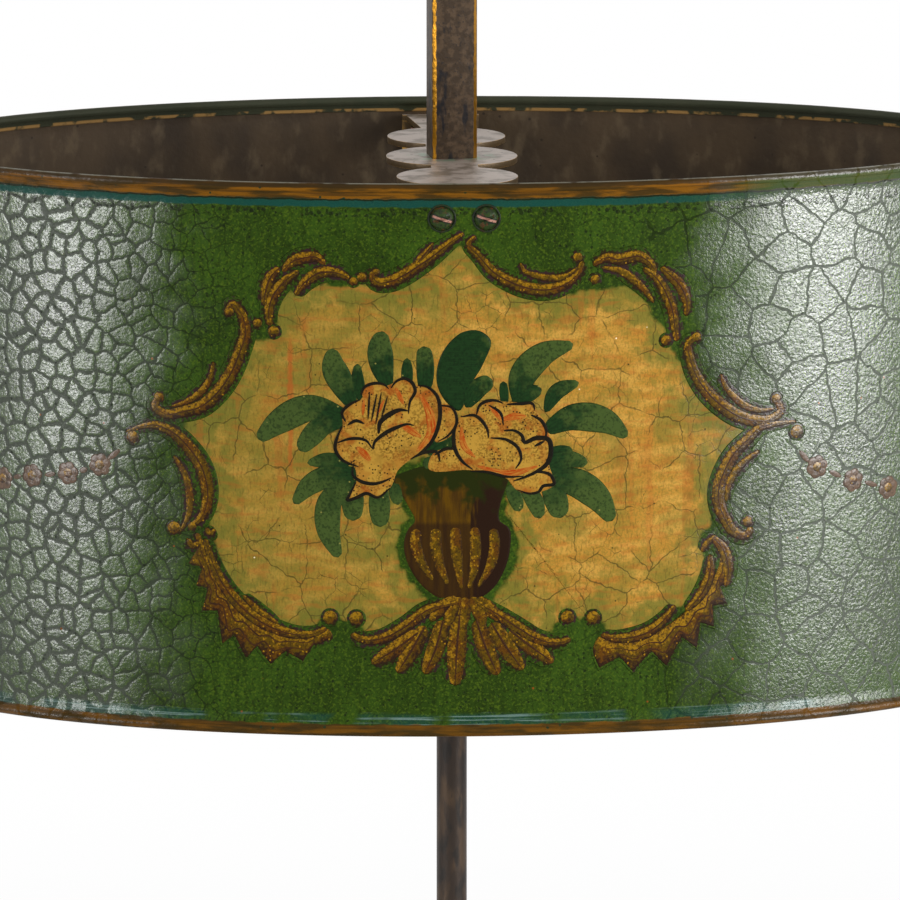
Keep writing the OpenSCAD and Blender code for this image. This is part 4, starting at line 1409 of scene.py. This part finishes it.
    acanthus: tuple[Stroke, ...] = (
        Stroke(((-15, 36), (-23, 30), (-31, 25)), 6.0, 0.7, 0.35, 0.5),
        Stroke(((-13, 38), (-18, 29), (-22.3, 21.9)), 6.4, 0.7, 0.4, 0.5),
        Stroke(((-7, 40), (-9.6, 30), (-13.2, 21.5)), 6.6, 0.7, 0.45, 0.5),
        Stroke(((-1, 45), (-2.4, 31), (-3, 17.5)), 7.0, 0.6, 0.5, 0.55),
        Stroke(((4, 40), (7.4, 30), (11.3, 21)), 6.6, 0.7, 0.45, 0.5),
        Stroke(((9, 39), (14.5, 30), (19.8, 22.6)), 6.6, 0.7, 0.4, 0.5),
        Stroke(((15, 36.5), (22.5, 30.5), (30, 24.9)), 6.2, 0.7, 0.35, 0.5))
    beads: tuple[Dab, ...] = (
        Dab((-34, 156), 1.6), Dab((-36.8, 154.6), 1.4), Dab((-63.5, 137.2), 1.9), Dab((-69, 139.9), 1.5),
        Dab((-78.6, 143.4), 1.6), Dab((-103, 113.6), 1.7), Dab((-98, 69.3), 2.2), Dab((-44.8, 40.6), 2.4),
        Dab((-36, 40.4), 2.4), Dab((37.9, 162.2), 1.6), Dab((43.8, 154.6), 1.6), Dab((68.1, 133.2), 1.8),
        Dab((78.6, 133.8), 1.6), Dab((107.3, 111.2), 1.7), Dab((97.1, 70), 1.8), Dab((43.4, 39.8), 2.3),
        Dab((34.7, 40.2), 2.3), Dab((-91.6, 70.2), 1.5), Dab((-112.5, 99.5), 2.1), Dab((115, 99.5), 2.3))
    boss: tuple[Stroke, ...] = (
        Stroke(((-2, 47.5), (-7, 44.5), (-11.5, 39.5)), 5.0, 0.5, 0.3),
        Stroke(((4, 47.5), (8, 44), (12, 39.5)), 5.0, 0.5, 0.3),
        Stroke(((-1, 47.8), (-4, 43), (-6, 37.5)), 5.0, 0.5, 0.3),
        Stroke(((2, 47.8), (5, 43), (6.5, 37.5)), 5.0, 0.5, 0.3),
        Stroke(((0.6, 47.9), (0, 43), (-0.6, 37)), 4.6, 0.6, 0.4))
    shadow_more: float = 3.4
    serrated_more: float = 1.2
    bead_more: float = 0.9
    serrated_rows: int = 241
    drawn_at: Point = (0.36, 0.66)

    def build(self) -> None:
        """Lays brown shadows first, then gold over them, and fine dark lines between parallel strands."""
        shadow, gold, line = (PaintSkin(self.wall) for _ in range(3))
        for stroke in self.strands + self.inner + self.acanthus:
            shadow.stroke(stroke.widened(self.shadow_more), Layer.SHADOW, 0.02)
        for stroke in self.acanthus:
            gold.stroke(stroke, Layer.LEAF)
            line.stroke(Stroke(stroke.points, 0.8, 0.7, 0.1, 0.4), Layer.GILDING, 0.03)
        even = np.linspace(0, 1, self.serrated_rows)
        for spine, serrated in ((self.left_spine, self.left_serrated), (self.right_spine, self.right_serrated)):
            inner, outer = smooth_path(spine), np.array(serrated)
            at = run_along(outer)
            outer = np.stack([np.interp(even * at[-1], at, outer[:, k]) for k in (0, 1)], axis=1)
            inner = np.stack([np.interp(even, np.linspace(0, 1, len(inner)), inner[:, k]) for k in (0, 1)], axis=1)
            away = outer - inner
            grown = outer + self.serrated_more * away / np.linalg.norm(away, axis=1, keepdims=True)
            shadow.band(inner, grown, Layer.SHADOW, 0.0)
            gold.band(inner, outer, Layer.LEAF)
            for share in self.drawn_at:
                middle = inner + away * share
                line.stroke(Stroke(tuple(map(tuple, middle[8:-8:12])), 0.9, 0.4, 0.4), Layer.PETAL, 0.02)
        for stroke in self.strands:
            gold.stroke(stroke, Layer.GILDING)
            line.stroke(Stroke(stroke.points, 0.6, 0.1, 0.1, 0.5), Layer.TOUCH, 0.03)
        for stroke in self.inner:
            gold.stroke(stroke, Layer.GILDING)
        for bead in self.beads:
            shadow.dab(Dab(bead.centre, bead.radius + self.bead_more), Layer.FIELD)
            gold.dab(bead, Layer.GILDING)
        for stroke in self.boss:
            gold.stroke(stroke, Layer.PETAL, 0.08)
        shadow.build("scroll_shadows", ShadowGlaze())
        gold.build("gilt_scrolls", ShellGold())
        line.build("scroll_dark_lines", BrushedPaint("umber_line_paint", "#2a1a10", "#4a2a12", 0.5))


@dataclass(frozen=True)
class RoseSpray:
    """The bunch over the urn: leaves in flat dark green, two blown roses in cream, and their drawing in black."""

    wall: OvalWall
    leaves: tuple[Stroke, ...] = (
        Stroke(((-25, 118), (-27.5, 127), (-28, 133), (-27, 138)), 8.6, 0.3, 0.4, 0.6),
        Stroke(((-19, 119), (-19, 129)), 4.0, 0.8, 0.4),
        Stroke(((-13, 118), (-13, 127), (-13.5, 133)), 6.0, 0.7, 0.75),
        Stroke(((0.5, 112), (4.5, 118.5), (9.5, 121.5)), 6.6, 0.3, 0.7),
        Stroke(((13.5, 113), (13, 121)), 3.2, 0.7, 0.6),
        Stroke(((18.5, 112), (19.5, 122.5), (26, 129.5), (36.5, 133)), 9.6, 0.4, 0.25, 0.45),
        Stroke(((16, 113.5), (20, 116), (26, 118)), 6.0, 0.6, 0.4),
        Stroke(((27, 110), (31, 117), (38.5, 120)), 5.6, 0.25, 0.3),
        Stroke(((27, 104), (36.5, 108.2), (47.5, 106.5), (55, 101)), 9.8, 0.4, 0.25, 0.5),
        Stroke(((27, 92), (35, 94), (41.5, 92.5)), 6.0, 0.8, 0.4),
        Stroke(((27, 96), (33.5, 97), (36.5, 97)), 4.0, 0.8, 0.5),
        Stroke(((26, 87), (37.5, 86), (44.5, 81), (50, 72.5)), 10.0, 0.6, 0.35, 0.5),
        Stroke(((28, 87), (31, 79.5), (32.5, 74)), 8.0, 0.6, 0.6),
        Stroke(((20, 86), (24, 79), (25.5, 74)), 6.0, 0.6, 0.45),
        Stroke(((15, 86), (17.5, 80), (18.5, 76.5)), 5.0, 0.6, 0.5),
        Stroke(((-38, 109), (-52.5, 111.5), (-61.5, 107), (-69, 100.5)), 9.6, 0.35, 0.35, 0.55),
        Stroke(((-38, 107.5), (-47.5, 105.5), (-51.5, 101.5), (-55, 97)), 7.4, 0.3, 0.5, 0.6),
        Stroke(((-36.5, 111), (-40.5, 119.5), (-43.5, 126), (-44, 132)), 8.8, 0.25, 0.35, 0.6),
        Stroke(((-34, 114), (-35.5, 122), (-35.5, 127)), 4.4, 0.5, 0.4),
        Stroke(((-35, 90), (-44.5, 89), (-51.5, 85.5), (-57, 79)), 7.6, 0.4, 0.3, 0.5),
        Stroke(((-38, 93), (-45, 94), (-52.5, 93)), 5.4, 0.8, 0.25),
        Stroke(((-38, 88), (-45, 79.5), (-45.5, 71.5), (-42, 61)), 8.8, 0.4, 0.3, 0.5),
        Stroke(((-37.5, 88), (-37.2, 79), (-37, 73.5)), 7.6, 0.7, 0.6),
        Stroke(((-28.5, 86), (-28.2, 78), (-28, 71.5)), 7.2, 0.7, 0.6),
        Stroke(((-23.5, 87), (-22, 79)), 4.6, 0.7, 0.4),
        Stroke(((-13, 97), (-6, 101.5), (-1, 105)), 7.0, 0.8, 0.6),
        Stroke(((-14, 93), (-4, 94), (4, 92)), 5.0, 0.8, 0.6))
    big_leaf: tuple[Point, ...] = (
        (-2, 111), (-6, 114), (-9, 120), (-8.4, 128), (-5, 134), (0, 137.8), (5, 138), (8.6, 135.3), (6.4, 127),
        (2, 119.5))
    left_rose: tuple[Point, ...] = (
        (-42.5, 99), (-41.9, 103), (-40.5, 106), (-40.7, 110.2), (-37.6, 113.4), (-34.4, 114.8), (-33.3, 118.8),
        (-30, 120.3), (-26, 119.5), (-22.6, 121), (-20, 122), (-17.5, 120.8), (-15.6, 119.8), (-12, 119), (-9, 116),
        (-8, 111.2), (-8.7, 105.7), (-11, 100.5), (-15, 96.5), (-18, 94.5), (-22, 91), (-24.6, 85), (-29, 81.7),
        (-32.6, 83), (-39.1, 80.7), (-38.2, 82.5), (-36, 87), (-37, 92.5), (-40.8, 94.4), (-43, 96.5))
    right_rose: tuple[Point, ...] = (
        (-3, 98), (-3.5, 103), (-2.3, 108), (-1, 109.4), (3.5, 110.4), (5.3, 113), (9.5, 114.5), (13.3, 114),
        (19, 113.6), (23, 113), (24.6, 110), (26.8, 107.3), (28, 103.4), (29.5, 97.5), (28.4, 92.5), (29.6, 88.5),
        (30.1, 85.9), (25, 83), (22.3, 82.5), (17.5, 84), (14, 88), (8, 89.8), (2, 91), (-1, 94))
    low_petal: tuple[Point, ...] = ((-12, 92), (-10.5, 96.5), (-6, 98.5), (0, 98), (5, 95), (7, 91.5), (0, 91))
    middle_petal: tuple[Point, ...] = (
        (-9.4, 112), (-6.5, 113.5), (-3.4, 111.5), (-2.5, 107), (-4.6, 102.5),
                (-9.4, 100.5), (-10.5, 106))
    ink: tuple[Stroke, ...] = (
        Stroke(((-39.4, 107), (-40.7, 110.2), (-37.6, 113.4), (-34.4, 114.8)), 1.3),
        Stroke(((-34.5, 116), (-33.3, 118.8), (-30, 120.3), (-26, 119.5), (-25, 118.3)), 1.3),
        Stroke(((-24.5, 118.5), (-22.6, 121), (-20, 122), (-17.5, 120.8), (-16.3, 118), (-18.1, 114),
                (-18.6, 109.8)), 1.4),
        Stroke(((-15.6, 119.8), (-12, 119), (-9, 116), (-8, 111.2), (-8.7, 105.7), (-11, 100.5), (-15, 96.5),
                (-18, 94.5)), 1.7),
        Stroke(((-28.5, 103), (-28, 107), (-24.6, 110), (-21, 111.4), (-18.5, 111)), 2.2),
        Stroke(((-30.4, 97.6), (-30, 100), (-27, 103), (-22.8, 105.3), (-18, 106.5), (-16.5, 106)), 1.7),
        Stroke(((-39, 106), (-36, 107.6), (-33, 106.5)), 1.4),
        Stroke(((-40.5, 106), (-41.9, 103), (-43, 98), (-40.8, 94.4), (-37, 92.6), (-35, 92)), 1.4),
        Stroke(((-42.5, 100), (-37.8, 101.5), (-32.5, 100.8), (-30.5, 98)), 1.3),
        Stroke(((-37, 92.5), (-37, 89), (-35.2, 87.5), (-30, 86.3), (-26, 87.5), (-24, 88.5)), 1.5),
        Stroke(((-36, 87), (-38.2, 82.5), (-39.1, 80.7), (-36, 81.5), (-32.6, 83), (-29, 81.7), (-24.6, 85)), 1.4),
        Stroke(((-2.3, 108), (-3.5, 103), (-3, 98), (-0.7, 94), (3, 91)), 1.6),
        Stroke(((-1, 109), (3.5, 109.4), (6.5, 106.8), (8, 103.5), (8, 101.5)), 1.4),
        Stroke(((8.5, 101.8), (14.3, 101), (18.1, 98), (19, 94.4), (17, 91)), 1.4),
        Stroke(((4, 109.5), (5.3, 113), (9.5, 114.5), (13.3, 113.4)), 1.3),
        Stroke(((8, 113), (12.2, 110), (13.1, 105.8)), 1.2),
        Stroke(((14, 113), (19, 113.2), (23, 113), (23.6, 110.6)), 1.4),
        Stroke(((22, 109.5), (25.8, 107.3), (27.5, 103.4), (27, 101)), 1.4),
        Stroke(((13, 104.2), (17.1, 104), (19.4, 102.2), (20, 100.3), (24, 101.5), (28.2, 100.8), (29, 96.7),
                (27.9, 93), (24, 90), (20.2, 88.3), (16.3, 87)), 2.0),
        Stroke(((23.3, 98.6), (27, 100.5)), 1.2),
        Stroke(((20, 88.5), (25, 90), (29.2, 88.5), (30.1, 85.9), (26.2, 85), (25, 83.3), (22.3, 82.7),
                (17.5, 84.1)), 1.4),
        Stroke(((-9, 113), (-4, 112), (-2.5, 107), (-5, 103), (-9, 100.5)), 1.2),
        Stroke(((-17.5, 95), (-13, 97), (-9, 97), (-8, 93.5)), 1.4), Stroke(((-10, 96), (-6, 98.2), (-2, 98)), 1.3),
        Stroke(((2, 90.6), (8, 90.2), (14, 88.6), (20, 88.6)), 1.3))
    stamens: tuple[Stroke, ...] = (
        Stroke(((-31.5, 117), (-32, 108)), 0.9), Stroke(((-29, 117), (-31, 107)), 0.8),
        Stroke(((-27.5, 117.5), (-29.5, 106)), 0.8), Stroke(((-25.5, 116), (-28, 107)), 0.7))
    blushes: tuple[Stroke, ...] = (
        Stroke(((-15, 117), (-11.5, 110), (-11, 104), (-16, 97)), 3.2, 0.2, 0.2),
        Stroke(((-22, 107), (-14, 102)), 2.6, 0.2, 0.2),
        Stroke(((-36, 99), (-31, 94)), 2.8, 0.2, 0.2), Stroke(((-33.4, 115), (-33.8, 109)), 1.2, 0.2, 0.2),
        Stroke(((-26.5, 115), (-29.5, 109)), 1.2, 0.2, 0.2),
        Stroke(((12, 107.6), (16, 108.8), (21, 109)), 2.6, 0.3, 0.2),
        Stroke(((8, 113), (13, 107)), 1.6, 0.2, 0.2), Stroke(((4, 92.4), (14, 89.6), (25, 92)), 2.6, 0.2, 0.2),
        Stroke(((-1, 106), (0, 99), (4, 95)), 2.2, 0.2, 0.2), Stroke(((-23, 119), (-20, 113)), 1.8, 0.2, 0.2))
    ink_share: float = 0.84

    def build(self) -> None:
        """Lays leaves, petals, orange blushes and the black drawing, in that order."""
        leaves, petals, blush, ink = (PaintSkin(self.wall) for _ in range(4))
        for leaf in self.leaves:
            leaves.stroke(leaf, Layer.LEAF, 0.03)
        leaves.disc(loop_path(self.big_leaf), Layer.LEAF, 4, 0.03)
        for outline in (self.left_rose, self.right_rose, self.middle_petal, self.low_petal):
            petals.disc(loop_path(outline), Layer.PETAL, 6)
        for stroke in self.blushes:
            blush.stroke(stroke, Layer.TOUCH, 0.03)
        for stroke in self.ink + self.stamens:
            ink.stroke(dataclasses.replace(stroke, width=self.ink_share * stroke.width), Layer.INK)
        leaves.build("rose_leaves", LeafPaint())
        petals.build("rose_petals", RosePaint())
        blush.build("petal_blushes", BrushedPaint("orange_glaze", "#8a3308", "#a0762e", 0.75, 1.0))
        ink.build("rose_drawing", BrushedPaint("black_drawing_paint", "#0e0d09", "#211b0d", 0.5))


@dataclass(frozen=True)
class Garlands:
    """Strings of small pink rosettes that run on from the scrolls towards both ends of the shade."""

    wall: OvalWall
    centres: tuple[Point, ...] = ((-124.4, 89.3), (-136.3, 85.5), (-150.3, 83.5), (-162.3, 81.3),
                                  (122.8, 86.8), (136.9, 81), (151.4, 77))
    tails: tuple[Stroke, ...] = (
        Stroke(((-117, 95), (-120, 92.5), (-122, 91)), 2.0), Stroke(((-129, 87.5), (-132, 86.5)), 2.0),
        Stroke(((-141, 85), (-145.5, 84)), 1.8), Stroke(((-154.5, 83), (-158, 82)), 1.8),
        Stroke(((116, 93), (118.5, 90), (120, 88.5)), 2.0), Stroke(((127.4, 85), (132.3, 82.5)), 1.9),
        Stroke(((141.5, 80), (147, 78)), 1.9))
    reach: float = 2.16
    petal: float = 1.9
    heart: float = 1.9

    def build(self) -> None:
        """Lays each rosette as a ring of six petals round a gold heart, with links between them."""
        pink, gold = PaintSkin(self.wall), PaintSkin(self.wall)
        for s, h in self.centres:
            for turn in np.radians(np.arange(0, 360, 60) + 15):
                at = (s + self.reach * math.cos(turn), h + self.reach * math.sin(turn))
                pink.dab(Dab(at, self.petal), Layer.LEAF)
            gold.dab(Dab((s, h), self.heart), Layer.GILDING)
        for tail in self.tails:
            pink.stroke(tail, Layer.LEAF)
        pink.build("garland_rosettes", RosettePaint("rosette_pink_paint", "#594535", "#2a2119", 0.8, 0.7))
        gold.build("rosette_hearts", ShellGold())


@dataclass(frozen=True)
class ScrewPaint:
    """Rings of dark paint round the screw heads, where they meet the wall."""

    wall: OvalWall
    height: float
    radius: float = 4.4
    half_width: float = 0.4
    middle: float = 0.1
    swell: float = 0.14

    def build(self) -> None:
        """Lays a ring round each head: a small circle turned round a larger one, flattened to the wall."""
        turn, across = around(40)[:, None], around(8)[None, :]
        reach = self.radius + self.half_width * np.cos(across)
        h, lift = self.height + reach * np.sin(turn), self.middle + self.swell * np.sin(across)
        rings = [self.wall.place(side * SCREW_PITCH / 2 + reach * np.cos(turn), h, lift) for side in (-1, 1)]
        faces = [closed_grid(*h.shape, first) for first in (0, h.size)]
        # Dark rings at the base of each head, where it meets the wall.
        ring_finish = OverpaintedScrew(label="screw_ring_dark_paint", paint="#18240c", copper="#10180a", rust="#241608")
        made = mesh_object("screw_paint_rings", np.concatenate(rings).reshape(-1, 3), faces, ring_finish.material())
        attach(made, "shade")


def build_shade() -> None:
    """Builds the shade's wall and all its painting."""
    proud = JapannedWall.bead - JapannedWall.bead_in
    wall = OvalWall(*((SHADE_HIGH[i] - SHADE_LOW[i]) / 2 / MM - proud for i in (0, 1)))
    screws_low, screws_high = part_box("strap_screws")
    screw_height = (screws_low[2] + screws_high[2]) / 2 / MM - SHADE_LOW[2] / MM
    urn = Urn(wall)
    for sub_assembly in (JapannedWall(wall), CreamPanel(wall, urn.outline), GiltScrolls(wall), urn, RoseSpray(wall),
                         Garlands(wall), ScrewPaint(wall, screw_height)):
        sub_assembly.build()


# --------------------------------------------------------------------------------------
# Metalwork, studio and camera
# --------------------------------------------------------------------------------------


class Metal(Enum):
    """The metals of the stand and fittings, by the CAD nodes that have them."""

    LACQUERED = ("base_dish", "column_plinth", "column_baluster", "column_collar", "finial_collar", "ring_handle",
                 "arm_hub", "left_arm", "right_arm", "left_drip_pan", "right_drip_pan", "left_candle_nozzle",
                 "right_candle_nozzle", "arm_key", "shade_key")
    ROD = ("stem_rod",)
    SCREWS = ("strap_nuts",)
    IRON = ("base_washer", "base_nut", "top_rim_wire", "bottom_rim_wire")


@dataclass(frozen=True)
class Metalwork:
    """The metal pieces: CAD meshes in their finishes, and eased copies of those that the photograph shows close."""

    strap_ease: float = 0.5
    screw_ease: float = 0.25
    slide_ease: float = 0.2

    def build(self) -> None:
        """Dresses every metal node."""
        finishes = {Metal.LACQUERED: LacqueredBrass(), Metal.ROD: DarkenedRod(), Metal.SCREWS: OverpaintedScrew(),
                    Metal.IRON: BlackIron()}
        for group, finish in finishes.items():
            for node in group.value:
                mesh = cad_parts[node].data
                mesh.materials.clear()
                mesh.materials.append(finish.material())
                LOG.info("%s: %s", node, finish.label)
        eased_copy("shade_strap", self.strap_ease, WornStrapBrass(), "shade")
        eased_copy("strap_screws", self.screw_ease, OverpaintedScrew(), "shade")
        eased_copy("shade_slide", self.slide_ease, PatinatedBrass(), "shade")


@dataclass(frozen=True)
class Stand:
    """Where a camera or lamp stands: degrees round to the right of the front, degrees up, and metres away."""

    azimuth: float
    elevation: float
    distance: float

    def aim(self, made: bpy.types.Object, target: Vector) -> None:
        """Puts a camera or lamp there and turns it to the target."""
        a, e = math.radians(self.azimuth), math.radians(self.elevation)
        back = Vector((math.sin(a) * math.cos(e), -math.cos(a) * math.cos(e), math.sin(e)))
        made.location = target + back * self.distance
        made.rotation_euler = (-back).to_track_quat("-Z", "Y").to_euler()


@dataclass(frozen=True)
class PhotoCamera:
    """The camera at the photograph's angle: level, slightly from the left and above, far off with a long lens."""

    stand: Stand = Stand(-2.35, 10.3, 3.0)
    lens: float = 348.28
    shift: Point = (-0.0019, -0.0473)
    sensor: float = 36.0
    clip_end: float = 50.0

    def place(self, centre: Vector) -> None:
        """Makes the camera, aims it at the shade's centre and makes it the scene's."""
        data = bpy.data.cameras.new("photo_camera")
        data.lens, data.sensor_width, data.clip_end = self.lens, self.sensor, self.clip_end
        data.shift_x, data.shift_y = self.shift
        camera = linked("photo_camera", data)
        self.stand.aim(camera, centre)
        bpy.context.scene.camera = camera


@dataclass(frozen=True)
class Softbox:
    """One area lamp: where it hangs, its size in metres and its power in watts."""

    name: str
    stand: Stand
    size: Point
    power: float

    def place(self, target: Vector) -> None:
        """Hangs the lamp and turns it to the target."""
        data = bpy.data.lights.new(self.name, "AREA")
        data.shape, data.size, data.size_y, data.energy = "RECTANGLE", *self.size, self.power
        self.stand.aim(linked(self.name, data), target)


@dataclass(frozen=True)
class Studio:
    """A pale floor under a pale world, tall softboxes at both sides, and a weak one overhead."""

    floor_half: float = 40.0
    floor_white: float = 0.95
    world_strength: float = 0.235
    shadow_share: float = 0.12
    shadow_near: float = 0.45
    shadow_far: float = 1.5
    boxes: tuple[Softbox, ...] = (
        Softbox("left_softbox", Stand(-55.0, 8.0, 1.3), (0.42, 0.8), 9.8),
        Softbox("right_softbox", Stand(53.5, 10.5, 1.3), (0.62, 0.8), 20.0),
        Softbox("top_softbox", Stand(-10.0, 60.0, 1.8), (1.2, 1.2), 6.8))

    def seen_white(self, tree: Tree, emitter: str, lit: Value, share: Value | float) -> Value:
        """Shows white to the camera and to mirrors and glass, and the lit surface to everything else.

        Args:
            tree: The node tree.
            emitter: The node that gives plain white.
            lit: The surface's own shader.
            share: The part of the lit surface that the camera sees too, so that a shadow shows.

        Returns:
            The mixed shader.
        """
        camera, mirror, glass = (add(tree, "LightPath", out=f"Is {kind} Ray")
                                 for kind in ("Camera", "Glossy", "Transmission"))
        white = add(tree, emitter, {"Color": (1.0, 1.0, 1.0, 1.0), "Strength": 1.0})
        return add(tree, "MixShader", {0: (camera | mirror | glass) * (1.0 - share), 1: lit, 2: white})

    def build(self, target: Vector) -> None:
        """Makes world, floor and lamps, and sets the plain view transform."""
        scene = bpy.context.scene
        scene.view_settings.view_transform = "Standard"
        scene.world = bpy.data.worlds.new("studio_world")
        tree = bare_tree(scene.world)
        soft = add(tree, "Background", {"Color": (1.0, 1.0, 1.0, 1.0), "Strength": self.world_strength})
        add(tree, "OutputWorld", {0: self.seen_white(tree, "Background", soft, 0.0)})
        paint = bpy.data.materials.new("studio_floor_paint")
        tree = bare_tree(paint)
        matt = add(tree, "BsdfDiffuse", {"Color": (*[self.floor_white] * 3, 1.0)})
        away = add(tree, "TexCoord", out="Object").length()
        share = away.ramp(self.shadow_far, self.shadow_near) * self.shadow_share
        add(tree, "OutputMaterial", {0: self.seen_white(tree, "Emission", matt, share)})
        corners = self.floor_half * np.array([[-1, -1, 0], [1, -1, 0], [1, 1, 0], [-1, 1, 0]])
        floor = mesh_object("studio_floor", corners, [np.array([[0, 1, 2, 3]])], paint)
        for lamp in self.boxes:
            lamp.place(target)


def main() -> None:
    """Builds the scene in order: camera and studio, the shade, and the metalwork."""
    logging.basicConfig(level=logging.INFO, format="%(name)s: %(message)s")
    centre = Vector([(low + high) / 2 for low, high in zip(SHADE_LOW, SHADE_HIGH)])
    PhotoCamera().place(centre)
    Studio().build(centre)
    build_shade()
    Metalwork().build()


if __name__ == "__main__":
    main()
